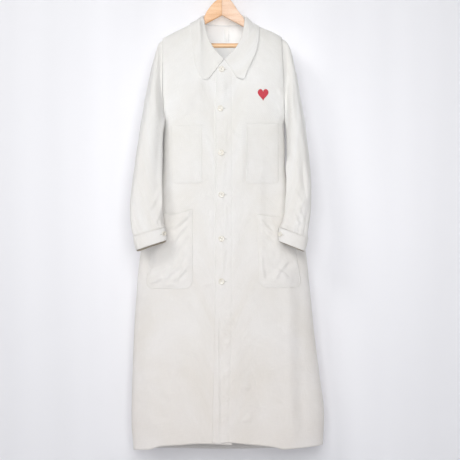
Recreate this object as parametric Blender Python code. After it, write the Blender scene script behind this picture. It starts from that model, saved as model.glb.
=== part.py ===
# A long medical coat, buttoned down the front, hung on a wooden hanger with a metal hook.
# The origin is where the hook's inner top bears on a rail. X is the viewer's right, the coat
# faces -Y and Z is up. Every number in the tables is a real size in millimetres.

import math

import bpy
import numpy as np
from mathutils import Vector
from mathutils.bvhtree import BVHTree

MM = 0.001
WALL = 2.0  # thickness of the cloth
SEAM = 0.3  # gap between two pieces sewn edge to edge, half of it on each
LIFT = 0.45  # gap under a piece that lies on another
COLLAR_LIFT = 0.9
POCKET_LIFT = 0.75
OVERLAP_STEP = 2.6  # from the under front's middle surface to the upper front's
MIDDLE_Y = -10.0  # plane between front and back, below the armholes
BOW = 0.12  # the hanger's arms come forward this much for each millimetre outwards
UNDERARM_Z = -445.0
HEM_Z = -1423.0
ARMHOLE_HALF_WIDTH = 50.0
ARMHOLE_HEIGHT = 250.0
ARMHOLE_SPREAD = 2.4  # how far the sleeve's seam stands off the body's at the underarm
NECK_SHARE = 0.70  # share of a panel's width, from its side, that hangs from the shoulder seam
FULLNESS_END = 0.75  # share of a panel's width where the armhole's depth has died out
SHOULDER_COLUMNS = 6
NECK_COLUMNS = 9
SKIRT_ROWS = 14
SLEEVE_COLUMNS = 24
SLEEVE_HEAD_ROWS = 4  # rings that turn from the armhole's oval into the sleeve's own
CUFF_COLUMNS = 27
COLLAR_STATIONS = 33
# Shares of the way from the shoulder down to the underarm, close where the cloth rounds over.
ARMHOLE_LEVELS = (0.0, 0.008, 0.03, 0.075, 0.14, 0.22, 0.32, 0.44, 0.57, 0.70, 0.82, 0.93)
ARMHOLE_ROWS = len(ARMHOLE_LEVELS)
COLLAR_ROLL = 2.3  # radius of the fold between stand and fall
BUTTON_RADIUS = 9.0
BUTTON_HEIGHT = 3.0
BUTTON_STEPS = 14
CUFF_BUTTON_RADIUS = 7.0
HOOK_RADIUS = 22.0  # of the bend, to the middle of the wire
WIRE_RADIUS = 1.8
WOOD_THICKNESS = 14.0
BAR_RADIUS = 7.0
BAR_HEIGHT = -218.0


def table(columns, rows):
    """A table with named columns, each one an array."""
    values = np.array(rows, float).T
    return dict(zip(columns.split(), values))


# Outline and depth of the body below the armholes. sides is how pointed the sides are.
BODY = table("z left right front back sides", [
    (-445, -174.0, 185.5, 58, 58, 0.85),
    (-508, -175.0, 186.4, 60, 58, 0.85),
    (-574, -177.0, 187.9, 60, 58, 0.90),
    (-648, -190.0, 199.0, 58, 57, 1.05),
    (-723, -214.0, 221.0, 56, 57, 1.20),
    (-798, -236.0, 242.3, 56, 58, 1.20),
    (-852, -245.2, 251.9, 57, 58, 1.15),
    (-947, -254.1, 262.0, 58, 60, 1.05),
    (-1097, -263.1, 276.7, 60, 60, 1.00),
    (-1217, -267.9, 291.7, 61, 60, 0.95),
    (-1336, -270.0, 305.1, 62, 60, 0.95),
    (-1423, -264.0, 301.0, 62, 60, 0.95),
])

# Height of the hem along each panel.
HEM_UNDER = table("x z", [
    (-264, -1423), (-213, -1417), (-183, -1407), (-123, -1401), (-64, -1396), (30, -1399),
])
HEM_UPPER = table("x z", [
    (-30, -1391), (-14, -1397), (21, -1392), (71, -1397), (157, -1407), (180, -1414), (231, -1412),
    (301, -1408),
])
HEM_BACK = table("x z", [(-264, -1423), (-150, -1429), (0, -1434), (150, -1430), (301, -1408)])

# Front edge of each front: the under one ends past the buttons, the upper one before them.
EDGE_UNDER = table("z x", [(-1423, 30), (-973, 27), (-445, 27)])
EDGE_UPPER = table("z x", [(-1423, -29), (-973, -20), (-445, -20)])

# Shoulder seams, from the shoulder point to the neck.
SHOULDER_RIGHT = table("x z", [(-175.7, -196.5), (-140.2, -177.9), (-104.5, -159.2), (-67.3, -139.6)])
SHOULDER_LEFT = table("x z", [
    (176.9, -194.1), (158.2, -181.8), (131.5, -170.0), (104.7, -158.3), (81.0, -146.4),
])

# Neck seams, from the shoulder seam to the front edge or to the middle of the back.
NECK_UNDER = table("x y z", [
    (-67.3, -8.1, -139.6), (-66.9, -16.5, -142.2), (-65.6, -20.0, -149.5), (-62.8, -24.5, -164.5),
    (-57.7, -32.0, -188.7), (-50.1, -40.0, -212.4), (-39.6, -46.0, -232.6), (-24.7, -50.0, -246.6),
    (-9.3, -52.0, -260.4), (3.4, -53.5, -271.0), (22.0, -53.5, -275.0),
])
NECK_UPPER = table("x y z", [
    (81.0, -9.7, -146.4), (80.7, -18.2, -149.0), (79.4, -21.6, -156.0), (76.6, -26.0, -168.5),
    (72.5, -32.0, -189.0), (65.0, -40.0, -213.5), (55.0, -46.0, -233.0), (40.5, -50.0, -247.5),
    (25.0, -54.0, -261.0), (10.0, -57.5, -270.5), (-14.0, -60.0, -275.0),
])
NECK_BACK_RIGHT = table("x y z", [
    (-67.3, -8.1, -139.6), (-66.5, 2.0, -140.3), (-63.0, 14.0, -141.5), (-52.0, 27.0, -144.5),
    (-33.0, 36.0, -147.5), (-8.0, 40.0, -149.0), (7.0, 40.5, -149.3),
])
NECK_BACK_LEFT = table("x y z", [
    (81.0, -9.7, -146.4), (80.0, 1.0, -146.8), (76.0, 14.0, -147.0), (66.0, 27.0, -147.6),
    (47.0, 36.0, -148.5), (22.0, 40.0, -149.1), (7.0, 40.5, -149.3),
])

# Sleeves, a row for each ring: its outer and inner points as seen from the front, and its
# middle and half width from front to back. The last row is the seam of the cuff.
SLEEVE_COLUMN_NAMES = "outer_x outer_z inner_x inner_z middle_y half_y"
SLEEVE_RIGHT = table(SLEEVE_COLUMN_NAMES, [
    (-176.4, -196.3, -176.8, -446.0, -20, 50),
    (-187.1, -210.5, -178.2, -455.0, -20, 56),
    (-195.8, -234.2, -178.6, -463.8, -19, 62),
    (-205.7, -269.8, -179.0, -472.7, -18, 66),
    (-214.7, -314.6, -179.4, -484.6, -18, 68),
    (-225.1, -368.3, -179.8, -499.5, -18, 69),
    (-235.5, -428.0, -180.4, -520.5, -20, 67),
    (-245.0, -482.0, -180.6, -547.5, -24, 63),
    (-253.2, -536.0, -180.0, -580.7, -32, 57),
    (-259.9, -590.0, -178.6, -616.7, -46, 45),
    (-265.2, -640.9, -176.5, -652.7, -57, 38),
    (-267.8, -688.4, -175.0, -688.4, -65, 34),
    (-266.5, -732.7, -173.0, -721.0, -70, 31),
    (-261.9, -768.0, -169.7, -748.9, -75, 29),
    (-257.7, -785.2, -166.7, -760.3, -77, 28),
])
SLEEVE_LEFT = table(SLEEVE_COLUMN_NAMES, [
    (177.6, -193.9, 188.3, -446.0, -20, 50),
    (191.0, -207.5, 191.0, -455.0, -20, 56),
    (204.4, -237.2, 192.0, -463.8, -19, 62),
    (214.9, -275.8, 192.5, -472.7, -18, 66),
    (224.5, -320.5, 192.8, -484.6, -18, 68),
    (234.6, -374.2, 193.1, -499.5, -18, 69),
    (243.2, -431.0, 193.4, -520.5, -20, 67),
    (250.4, -487.9, 193.8, -547.5, -24, 63),
    (256.5, -542.0, 194.1, -580.7, -32, 57),
    (261.3, -596.0, 194.0, -616.7, -43, 48),
    (263.5, -646.8, 193.1, -652.7, -57, 38),
    (263.6, -691.4, 189.5, -685.5, -65, 34),
    (261.0, -729.8, 184.7, -712.1, -70, 31),
    (255.9, -762.1, 176.6, -735.7, -75, 29),
    (251.4, -791.1, 169.3, -760.3, -77, 28),
])
# Cuffs: the seam, the middle and the open end.
CUFF_RIGHT = table(SLEEVE_COLUMN_NAMES, [
    (-258.9, -785.8, -165.6, -760.9, -77, 29),
    (-255.0, -806.0, -163.8, -779.0, -78, 29),
    (-249.5, -827.0, -161.8, -797.5, -79, 28),
])
CUFF_LEFT = table(SLEEVE_COLUMN_NAMES, [
    (252.6, -791.7, 168.2, -760.9, -77, 29),
    (248.0, -810.0, 167.0, -780.5, -78, 29),
    (241.8, -829.8, 167.2, -800.5, -79, 28),
])
CUFF_LAP = 0.08  # share of a turn by which the cuff's ends lap
CUFF_LAP_ANGLE = 2.95  # where the upper end stops, from the outer point round by the front

# Small pleats where a sleeve is gathered into its cuff: angle round the sleeve, width and depth.
PLEATS = table("angle width depth", [
    (0.75, 0.20, 2.2), (1.30, 0.18, 2.6), (1.85, 0.20, 2.0),
    (3.60, 0.22, 1.8), (4.40, 0.20, 2.2), (5.20, 0.22, 1.8),
])

# Largest folds: a ridge (height above 0) or a trough from its top to its foot.
FOLD_COLUMNS = "x_top z_top x_foot z_foot width height"
FRONT_FOLDS = table(FOLD_COLUMNS, [
    (196, -835, 204, -1440, 16, 4.0),
    (228, -850, 240, -1440, 18, -5.0),
    (13, -290, 4, -405, 12, 1.6),
    (62, -430, 60, -650, 13, 3.0),
    (-95, -300, -120, -450, 24, 2.0),
    (110, -290, 140, -440, 24, 2.0),
    (-205, -860, -215, -1440, 26, 3.0),
    (-120, -990, -150, -1440, 28, -2.5),
    (95, -980, 120, -1440, 30, -2.5),
])
BACK_FOLDS = table(FOLD_COLUMNS, [
    (-85, -330, -130, -1450, 34, 6.0),
    (95, -330, 150, -1450, 36, 6.0),
    (5, -420, 15, -1450, 40, -5.0),
    (-200, -560, -225, -1450, 26, -4.0),
    (205, -560, 250, -1450, 26, -4.0),
])
SLEEVE_FOLDS = table(FOLD_COLUMNS, [
    (205, -262, 226, -470, 11, -3.5),
    (226, -470, 246, -668, 11, -3.0),
    (238, -640, 214, -700, 10, -2.0),
    (-214, -270, -222, -470, 13, -2.5),
    (-222, -520, -246, -700, 12, -2.5),
    (-250, -640, -205, -715, 10, 2.0),
])

# Collar, from the wearer's right end round the back to the left end. A row has the neck seam,
# the roll line and the outer edge, and the way the place faces: 0 front, 90 up, 180 back.
COLLAR_COLUMNS = "seam_x seam_y seam_z roll_x roll_y roll_z edge_x edge_y edge_z facing"
COLLAR = table(COLLAR_COLUMNS, [
    (3.4, -56.0, -270.4, 4.8, -60.0, -264.8, -39.3, -64, -324.4, 0),
    (-9.3, -54.0, -259.8, -5.5, -57.0, -252.7, -54.0, -64, -325.3, 0),
    (-24.7, -51.0, -246.0, -18.9, -53.0, -237.4, -67.3, -62, -311.4, 0),
    (-39.0, -46.5, -232.2, -30.7, -48.5, -220.6, -77.7, -59, -287.6, 0),
    (-49.4, -40.5, -212.1, -39.7, -42.5, -200.3, -83.4, -54, -254.5, 5),
    (-57.0, -32.5, -188.3, -46.4, -34.0, -179.8, -87.5, -47, -218.0, 12),
    (-61.6, -24.5, -165.6, -51.1, -26.0, -157.2, -90.9, -36, -183.3, 30),
    (-65.0, -18.0, -148.0, -54.5, -17.5, -138.0, -92.5, -24, -163.0, 55),
    (-66.6, -8.0, -139.0, -56.0, -8.0, -127.8, -93.5, -12, -153.5, 90),
    (-64.0, 9.0, -140.6, -53.0, 8.0, -122.0, -93.0, 8, -162.0, 130),
    (-51.7, 27.0, -143.8, -43.0, 25.0, -118.5, -80.0, 32, -181.0, 165),
    (-33.0, 36.0, -146.8, -27.0, 34.0, -116.5, -50.0, 43, -184.5, 180),
    (-8.0, 40.0, -148.3, -6.0, 38.0, -115.6, -15.0, 46, -185.6, 180),
    (7.0, 40.5, -148.6, 7.0, 38.5, -115.4, 7.0, 46, -185.8, 180),
    (22.0, 40.0, -148.4, 20.0, 38.0, -115.6, 29.0, 46, -185.6, 180),
    (47.0, 36.0, -147.8, 41.0, 34.0, -116.5, 64.0, 43, -184.5, 180),
    (65.7, 27.0, -146.9, 57.0, 25.0, -119.5, 94.0, 32, -181.0, 165),
    (77.0, 9.0, -146.3, 67.0, 8.0, -124.5, 107.0, 8, -166.0, 130),
    (80.3, -9.0, -145.8, 69.8, -8.0, -130.5, 108.0, -12, -159.5, 90),
    (78.8, -19.0, -154.0, 68.5, -18.0, -141.0, 109.0, -24, -169.0, 55),
    (75.7, -25.5, -167.4, 66.3, -27.0, -158.7, 109.5, -36, -182.0, 30),
    (71.8, -32.5, -188.6, 62.0, -34.0, -181.2, 107.7, -47, -209.2, 12),
    (64.3, -40.5, -213.2, 55.1, -42.5, -203.3, 102.2, -54, -239.7, 5),
    (54.4, -46.5, -232.6, 46.2, -48.5, -222.1, 90.3, -59, -269.9, 0),
    (40.3, -51.0, -246.9, 34.3, -53.0, -238.9, 75.5, -62, -301.1, 0),
    (24.5, -54.0, -260.3, 19.6, -57.0, -254.2, 63.2, -64, -325.3, 0),
    (10.5, -56.0, -269.8, 9.2, -60.0, -266.3, 44.6, -64, -320.6, 0),
])

# Patch pockets: inner and outer edge at the mouth and at the foot, heights of the mouth at
# each edge and of the foot, and the radius of the lower corners.
POCKET_COLUMNS = "inner_top outer_top inner_foot outer_foot inner_mouth outer_mouth foot corner"
POCKETS = {
    "chest_pocket_right": (-58.2, -148.0, -58.2, -147.0, -459, -460, -630, 8),
    "chest_pocket_left": (71.0, 166.0, 71.0, 167.0, -454, -453, -630, 8),
    "hip_pocket_right": (-86.3, -190.0, -86.2, -228.0, -706, -716, -941, 24),
    "hip_pocket_left": (103.4, 200.0, 110.0, 238.0, -721, -728, -938, 24),
}
POCKET_ROWS = 8
POCKET_STEPS = 8

FRONT_BUTTONS = table("x z", [(-1, -295), (-4, -411), (-2, -541), (-1, -664), (-1, -794), (-1, -919)])
CUFF_BUTTON_ANGLE = 2.69  # place of the button round the cuff
CUFF_BUTTON_SHARE = 0.45  # and down it

BADGE_X = 121.0
BADGE_Z = -369.0
BADGE_WIDTH = 31.0
BADGE_HEIGHT = 34.0
BADGE_THICKNESS = 1.0

LOOP_X = 14.0
LOOP_WIDTH = 13.0
LOOP_TOP = -156.0
LOOP_FOOT = -197.0
LOOP_WALL = 1.4
LOOP_BOW = 3.5

# Hanger arms: distance from the joint, height of the upper and the lower edge.
ARM_COLUMNS = "out top low"
ARM_RIGHT = table(ARM_COLUMNS, [
    (0.2, -66.5, -124.4), (12.6, -77.0, -131.6), (27, -89.5, -139.6), (36, -100.5, -144.6),
    (44, -111.5, -149.0), (49, -121.0, -151.8), (52, -129.5, -153.5), (55, -137.0, -155.2),
    (60, -140.4, -158.0), (68, -143.6, -162.4),
    (95, -156.4, -177.0), (125, -171.9, -194.0), (143, -181.5, -204.5), (146, -183.0, -222.5),
    (152, -186.2, -228.0), (161, -191.0, -229.0), (169, -196.2, -225.0), (174, -204.0, -213.0),
])
ARM_LEFT = table(ARM_COLUMNS, [
    (0.2, -66.5, -124.4), (13, -69.5, -131.8), (25, -78.5, -138.6), (36, -93.0, -144.6),
    (46, -108.5, -150.0), (54, -119.8, -154.6), (61, -128.2, -158.5), (65, -136.0, -160.7),
    (69, -144.0, -162.9), (76, -148.2, -166.8),
    (95, -155.6, -177.0), (125, -169.5, -194.0), (143, -178.5, -204.5), (146, -180.0, -222.5),
    (152, -182.6, -228.0), (161, -188.0, -229.0), (169, -194.4, -225.0), (174, -203.0, -213.0),
])
BAR_REACH = 143.6  # from the middle to each end, against the lugs of the arms

COLOURS = {
    "cloth": (0.80, 0.79, 0.76, 1.0),
    "button": (0.78, 0.74, 0.64, 1.0),
    "badge": (0.60, 0.03, 0.07, 1.0),
    "wood": (0.80, 0.46, 0.22, 1.0),
    "steel": (0.62, 0.62, 0.62, 1.0),
}


def smooth(source, key, column, at):
    """Reads a column at any place by a cubic that doesn't overshoot the table's points."""
    order = np.argsort(source[key])
    xs = source[key][order]
    ys = source[column][order]
    at = np.clip(np.asarray(at, float), xs[0], xs[-1])
    step = np.diff(xs)
    rise = np.diff(ys) / step
    slope = np.zeros(len(xs))
    slope[0] = rise[0]
    slope[-1] = rise[-1]
    product = rise[:-1] * rise[1:]
    total = np.where(np.abs(rise[:-1] + rise[1:]) < 1e-9, 1.0, rise[:-1] + rise[1:])
    slope[1:-1] = np.where(product > 0, 2.0 * product / total, 0.0)
    i = np.clip(np.searchsorted(xs, at, side="right") - 1, 0, len(xs) - 2)
    t = (at - xs[i]) / step[i]
    return (
        ys[i] * (1 + 2 * t) * (1 - t) ** 2
        + ys[i + 1] * t * t * (3 - 2 * t)
        + step[i] * t * (1 - t) * (slope[i] * (1 - t) - slope[i + 1] * t)
    )


def along(source, columns, count, power=1.0):
    """Reads columns at evenly spaced shares of the row number, from the first row to the last."""
    rows = len(next(iter(source.values())))
    numbered = dict(source, row=np.arange(rows, dtype=float))
    at = (np.linspace(0, 1, count) ** power) * (rows - 1)
    return np.stack([smooth(numbered, "row", name, at) for name in columns.split()], axis=-1)


def ease(x):
    x = np.clip(x, 0.0, 1.0)
    return x * x * (3 - 2 * x)


def unit(vectors):
    return vectors / np.maximum(np.linalg.norm(vectors, axis=-1, keepdims=True), 1e-9)


def normals_of(grid, closed=False):
    """Normals of a grid of points: rows go down the cloth, columns go across it."""
    down = np.gradient(grid, axis=0)
    if closed:
        across = np.roll(grid, -1, axis=1) - np.roll(grid, 1, axis=1)
    else:
        across = np.gradient(grid, axis=1)
    return unit(np.cross(down, across))


def bow(x):
    """How far forward the hanger's arm is at a distance x from the joint."""
    return -BOW * np.abs(x)


def press(grid, normals, folds, facing):
    """Moves points along their normals for each fold, on the side that faces -Y (-1) or +Y (1)."""
    amount = np.zeros(grid.shape[:2])
    for x_top, z_top, x_foot, z_foot, width, height in zip(*folds.values()):
        start = np.array([x_top, z_top])
        line = np.array([x_foot, z_foot]) - start
        length = np.linalg.norm(line)
        line = line / length
        away = grid[..., [0, 2]] - start
        run = away @ line
        aside = away[..., 0] * line[1] - away[..., 1] * line[0]
        end = 0.22 * length
        fade = ease(run / end) * ease((length - run) / end)
        amount += height * fade * np.exp(-((aside / width) ** 2))
    share = np.clip(normals[..., 1] * facing, 0, 1) ** 0.5
    return grid + normals * (amount * share)[..., None]


def armhole_oval(g):
    """Half width of the armhole, an egg shape, at a share g of the way down it."""
    a = np.arccos(1 - 2 * np.clip(g, 0, 1))
    return ARMHOLE_HALF_WIDTH * np.sin(a) * (1 - 0.18 * np.cos(a))


def fullness(g, share):
    """Depth that the armhole gives the panel: it dies out towards the front edge, and lower down."""
    widest = 0.55
    soft = armhole_oval(min(g, widest)) * (1 - ease((g - widest) / 0.85))
    inward = ease(share / 0.2)
    at_side = armhole_oval(g) * (1 - inward) + soft * inward
    return at_side * np.clip(1 - share / FULLNESS_END, 0, 1) ** 2


def half_panel(side, front, shoulder, neck, edge_x, hem):
    """The middle surface of a panel from its side to its edge, in rows from top to hem.

    g runs from 0 at the shoulder to 1 at the underarm. With cos a = 1 - 2 g the side point
    lies on the armhole, an oval leaning with the shoulder, and the depth grows as the root of
    1 - (1 - g)^2, so that the cloth rounds over the hanger.
    """
    depth_name = "front" if front else "back"
    away = -1.0 if front else 1.0
    columns = SHOULDER_COLUMNS + NECK_COLUMNS
    top = np.zeros((columns, 3))
    along_shoulder = np.linspace(0, 1, SHOULDER_COLUMNS, endpoint=False)
    top[:SHOULDER_COLUMNS, 0] = shoulder["x"][0] + (shoulder["x"][-1] - shoulder["x"][0]) * along_shoulder
    top[:SHOULDER_COLUMNS, 2] = smooth(shoulder, "x", "z", top[:SHOULDER_COLUMNS, 0])
    top[:SHOULDER_COLUMNS, 1] = bow(top[:SHOULDER_COLUMNS, 0])
    top[SHOULDER_COLUMNS:] = along(neck, "x y z", NECK_COLUMNS, 1.0 if front else 0.9)

    def section(z):
        """Points of one level below the armhole: x, depth."""
        left = smooth(BODY, "z", "left", z)
        right = smooth(BODY, "z", "right", z)
        middle = 0.5 * (left + right)
        half = 0.5 * (right - left)
        last = middle if edge_x is None else smooth(edge_x, "z", "x", z)
        end = math.acos(float(side * (last - middle) / half))
        at_neck = NECK_SHARE * end
        angle = np.concatenate([
            np.linspace(0, at_neck, SHOULDER_COLUMNS, endpoint=False),
            np.linspace(at_neck, end, NECK_COLUMNS),
        ])
        x = middle + side * half * np.cos(angle)
        power = smooth(BODY, "z", "sides", z)
        depth = smooth(BODY, "z", depth_name, z) * np.clip(np.sin(angle), 0, 1) ** power
        return x, depth

    share = np.linspace(0, 1, columns)
    under_x, under_depth = section(UNDERARM_Z)
    rows = []
    for g in ARMHOLE_LEVELS:
        e = math.sqrt(1 - (1 - g) ** 2)
        x = (1 - g) * top[:, 0] + g * under_x
        y = (1 - e) * top[:, 1] + e * (MIDDLE_Y + away * under_depth) + away * fullness(g, share)
        z = (1 - g) * top[:, 2] + g * UNDERARM_Z
        rows.append(np.stack([x, y, z], axis=-1))
    for v in np.linspace(0, 1, SKIRT_ROWS) ** 1.15:
        level = UNDERARM_Z + v * (HEM_Z - UNDERARM_Z)
        x, depth = section(level)
        g = 1 + (UNDERARM_Z - level) / ARMHOLE_HEIGHT
        y = MIDDLE_Y + away * (depth + fullness(g, share))
        z = UNDERARM_Z + v * (smooth(hem, "x", "z", x) - UNDERARM_Z)
        rows.append(np.stack([x, y, z], axis=-1))
    return np.array(rows)


def trim(grid, top=0.0, first=0.0, last=0.0):
    """Draws the top row and the first and last columns in along the cloth."""
    grid = grid.copy()
    if top:
        grid[0] += top * unit(grid[1] - grid[0])
    if first:
        grid[:, 0] += first * unit(grid[:, 1] - grid[:, 0])
    if last:
        grid[:, -1] += last * unit(grid[:, -2] - grid[:, -1])
    return grid


def wall_mesh(grid, normals, thickness, closed=False):
    """Closed mesh of a wall of even thickness round a grid of points."""
    rows, columns = grid.shape[:2]
    outer = grid + normals * thickness / 2
    inner = grid - normals * thickness / 2
    points = np.concatenate([outer.reshape(-1, 3), inner.reshape(-1, 3)])
    count = rows * columns
    faces = []
    spans = columns if closed else columns - 1
    for r in range(rows - 1):
        for c in range(spans):
            n = (c + 1) % columns
            a, b = r * columns + c, r * columns + n
            d, e = a + columns, b + columns
            faces.append((a, d, e, b))
            faces.append((a + count, b + count, e + count, d + count))
    for c in range(spans):
        n = (c + 1) % columns
        faces.append((c, n, n + count, c + count))
        low = (rows - 1) * columns
        faces.append((low + n, low + c, low + c + count, low + n + count))
    if not closed:
        for r in range(rows - 1):
            a, b = r * columns, (r + 1) * columns
            faces.append((b, a, a + count, b + count))
            a, b = a + columns - 1, b + columns - 1
            faces.append((a, b, b + count, a + count))
    return points, faces


def facing_out(points, faces):
    """Turns all faces round if the volume they enclose comes out below zero."""
    volume = 0.0
    for face in faces:
        first = points[face[0]]
        for i in range(1, len(face) - 1):
            volume += np.dot(first, np.cross(points[face[i]], points[face[i + 1]]))
    return faces if volume > 0 else [tuple(reversed(face)) for face in faces]


def material(slot):
    found = bpy.data.materials.get(slot)
    if found:
        return found
    made = bpy.data.materials.new(slot)
    made.use_nodes = True
    shader = made.node_tree.nodes["Principled BSDF"]
    shader.inputs["Base Color"].default_value = COLOURS[slot]
    shader.inputs["Roughness"].default_value = 0.3 if slot in ("button", "steel") else 0.8
    shader.inputs["Metallic"].default_value = 1.0 if slot == "steel" else 0.0
    made.diffuse_color = COLOURS[slot]
    return made


def add(name, points, faces, slot):
    """Makes the named object from points in millimetres."""
    faces = facing_out(points, faces)
    mesh = bpy.data.meshes.new(name)
    mesh.from_pydata([tuple(p) for p in points * MM], [], faces)
    mesh.validate()
    made = material(slot).copy()
    made.name = f"{slot}_{name}"
    mesh.materials.append(made)
    bpy.context.scene.collection.objects.link(bpy.data.objects.new(name, mesh))
    return BVHTree.FromPolygons([Vector(p) for p in points], faces)


def cloth(name, grid, normals=None, thickness=WALL, closed=False):
    if normals is None:
        normals = normals_of(grid, closed)
    points, faces = wall_mesh(grid, normals, thickness, closed)
    return add(name, points, faces, "cloth")


def outward(normals, grid, middle_y):
    """Normals turned so that they point away from the plane between front and back."""
    flip = np.sum(normals[..., 1] * (grid[..., 1] - middle_y)) < 0
    return -normals if flip else normals


def panel_normals(grid, side):
    """Normals of a panel. Along a seam that two panels share they lie in the seam's plane."""
    normals = outward(normals_of(grid), grid, MIDDLE_Y)
    top = normals[0, :SHOULDER_COLUMNS + 1]
    top[:, 1] = 0.0
    normals[0, :SHOULDER_COLUMNS + 1] = unit(top)
    below = normals[ARMHOLE_ROWS:, 0]
    below[:, 1] = 0.0
    below[:, 2] = 0.0
    below[:, 0] = side
    normals[ARMHOLE_ROWS:, 0] = below
    return normals


def front_panel(name, side, shoulder, neck, edge_x, hem, step):
    grid = half_panel(side, True, shoulder, neck, edge_x, hem)
    grid = trim(grid, top=SEAM, first=SEAM)
    normals = panel_normals(grid, side)
    grid = press(grid, normals, FRONT_FOLDS, -1)
    near = ease((70 - np.abs(grid[..., 0])) / 30)
    grid = grid + normals * (step * near)[..., None]
    tree = cloth(name, grid, normals)
    return tree, (grid[0, SHOULDER_COLUMNS:], normals[0, SHOULDER_COLUMNS:])


def back_panel():
    right = half_panel(-1, False, SHOULDER_RIGHT, NECK_BACK_RIGHT, None, HEM_BACK)
    left = half_panel(1, False, SHOULDER_LEFT, NECK_BACK_LEFT, None, HEM_BACK)
    right = trim(right, top=SEAM, first=SEAM)
    left = trim(left, top=SEAM, first=SEAM)
    right_normals = panel_normals(right, -1)
    left_normals = panel_normals(left, 1)
    grid = np.concatenate([right, left[:, -2::-1]], axis=1)
    normals = outward(normals_of(grid), grid, MIDDLE_Y)
    normals[:, :SHOULDER_COLUMNS] = right_normals[:, :SHOULDER_COLUMNS]
    normals[:, -SHOULDER_COLUMNS:] = left_normals[:, :SHOULDER_COLUMNS][:, ::-1]
    grid = press(grid, normals, BACK_FOLDS, 1)
    tree = cloth("back", grid, normals)
    neck = slice(SHOULDER_COLUMNS, -SHOULDER_COLUMNS)
    return tree, (grid[0, neck], normals[0, neck])


def ring(rows, angles):
    """Points of oval rings, each in the plane through its outer and inner point."""
    share = (1 - np.cos(angles)) / 2
    x = rows["outer_x"][:, None] + (rows["inner_x"] - rows["outer_x"])[:, None] * share
    z = rows["outer_z"][:, None] + (rows["inner_z"] - rows["outer_z"])[:, None] * share
    y = rows["middle_y"][:, None] - rows["half_y"][:, None] * np.sin(angles)
    return np.stack([x, y, z], axis=-1)


def ring_centres(rows):
    angles = np.linspace(0, 2 * math.pi, SLEEVE_COLUMNS, endpoint=False)
    return ring(rows, angles).mean(axis=1, keepdims=True)


def sleeve(name, side, rows, shoulder):
    """A tube from the armhole, an oval seen from the side, to the level ring at the cuff."""
    angles = np.linspace(0, 2 * math.pi, SLEEVE_COLUMNS, endpoint=False)
    grid = ring(rows, angles)
    g = (1 - np.cos(angles)) / 2
    e = np.sqrt(1 - (1 - g) ** 2)
    oval = armhole_oval(g) * np.sign(np.sin(angles))
    armhole_y = (1 - e) * bow(rows["outer_x"][0]) + e * MIDDLE_Y - oval
    for r in range(SLEEVE_HEAD_ROWS):
        keep = 1 - ease(r / SLEEVE_HEAD_ROWS)
        grid[r, :, 1] = keep * armhole_y + (1 - keep) * grid[r, :, 1]
    underarm_x = BODY["left"][0] if side < 0 else BODY["right"][0]
    gap = SEAM + ARMHOLE_SPREAD * g ** 3
    grid[0, :, 0] = shoulder["x"][0] + (underarm_x - shoulder["x"][0]) * g + side * gap
    normals = normals_out(grid)
    grid = press(grid, normals, SLEEVE_FOLDS, -1)
    depth = np.zeros(len(angles))
    for angle, width, fold in zip(*PLEATS.values()):
        turn = (angles - angle + math.pi) % (2 * math.pi) - math.pi
        depth += fold * np.exp(-((turn / width) ** 2))
    rows_down = np.linspace(0, 1, len(rows["outer_x"]))
    growth = ease((rows_down - 0.72) / 0.28)
    grid = grid - normals * (growth[:, None] * depth)[..., None]
    return cloth(name, grid, normals_out(grid), closed=True)


def normals_out(grid):
    """Normals of a tube, pointing away from its middle line."""
    normals = normals_of(grid, closed=True)
    centre = grid.mean(axis=1, keepdims=True)
    return -normals if np.sum(normals * (grid - centre)) < 0 else normals


def cuff(name, rows):
    """A band a little longer than a turn, its upper end lapping over the under end."""
    turn = np.linspace(0, 1, CUFF_COLUMNS)
    angles = CUFF_LAP_ANGLE + 2 * math.pi * (1 + CUFF_LAP) * (turn - 1)
    grid = ring(rows, angles)
    normals = normals_of(grid)
    if np.sum(normals * (grid - ring_centres(rows))) < 0:
        normals = -normals
    out = (WALL + LIFT + 0.15) * ease((turn - 0.70) / 0.18)
    grid = grid + normals * out[None, :, None]
    return cloth(name, grid, normals)


def cast(trees, start, direction):
    """Nearest hit on any of the trees: the place and the normal that faces the start."""
    best = None
    for tree in trees:
        place, normal, _, distance = tree.ray_cast(Vector(start), Vector(direction))
        if place is not None and (best is None or distance < best[2]):
            best = (np.array(place), np.array(normal), distance)
    if best is None:
        return None
    place, normal, _ = best
    if np.dot(normal, direction) > 0:
        normal = -normal
    return place, normal


# Places in a cell of a grid where its distance from the panels is measured.
CELL_SAMPLES = [(u, v) for u in (0, 0.25, 0.5, 0.75, 1) for v in (0, 0.25, 0.5, 0.75, 1)]


def raise_off(grid, ways, trees, clear, reach=25.0):
    """Moves points along their ways until the whole sheet between them is clear of the trees."""
    grid = grid.copy()
    rows, columns = grid.shape[:2]
    for _ in range(8):
        lack = np.zeros((rows, columns))
        for r in range(rows - 1):
            for c in range(columns - 1):
                for u, v in CELL_SAMPLES:
                    weights = np.outer([1 - u, u], [1 - v, v])[..., None]
                    point = np.sum(grid[r:r + 2, c:c + 2] * weights, axis=(0, 1))
                    way = unit(np.sum(ways[r:r + 2, c:c + 2] * weights, axis=(0, 1)))
                    hit = cast(trees, point + way * reach, -way)
                    if hit is None:
                        continue
                    short = clear - np.dot(point - hit[0], way)
                    if 0 < short < reach:
                        lack[r:r + 2, c:c + 2] = np.maximum(lack[r:r + 2, c:c + 2], short)
        if lack.max() <= 0.01:
            break
        grid += ways * lack[..., None]
    return grid


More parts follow.
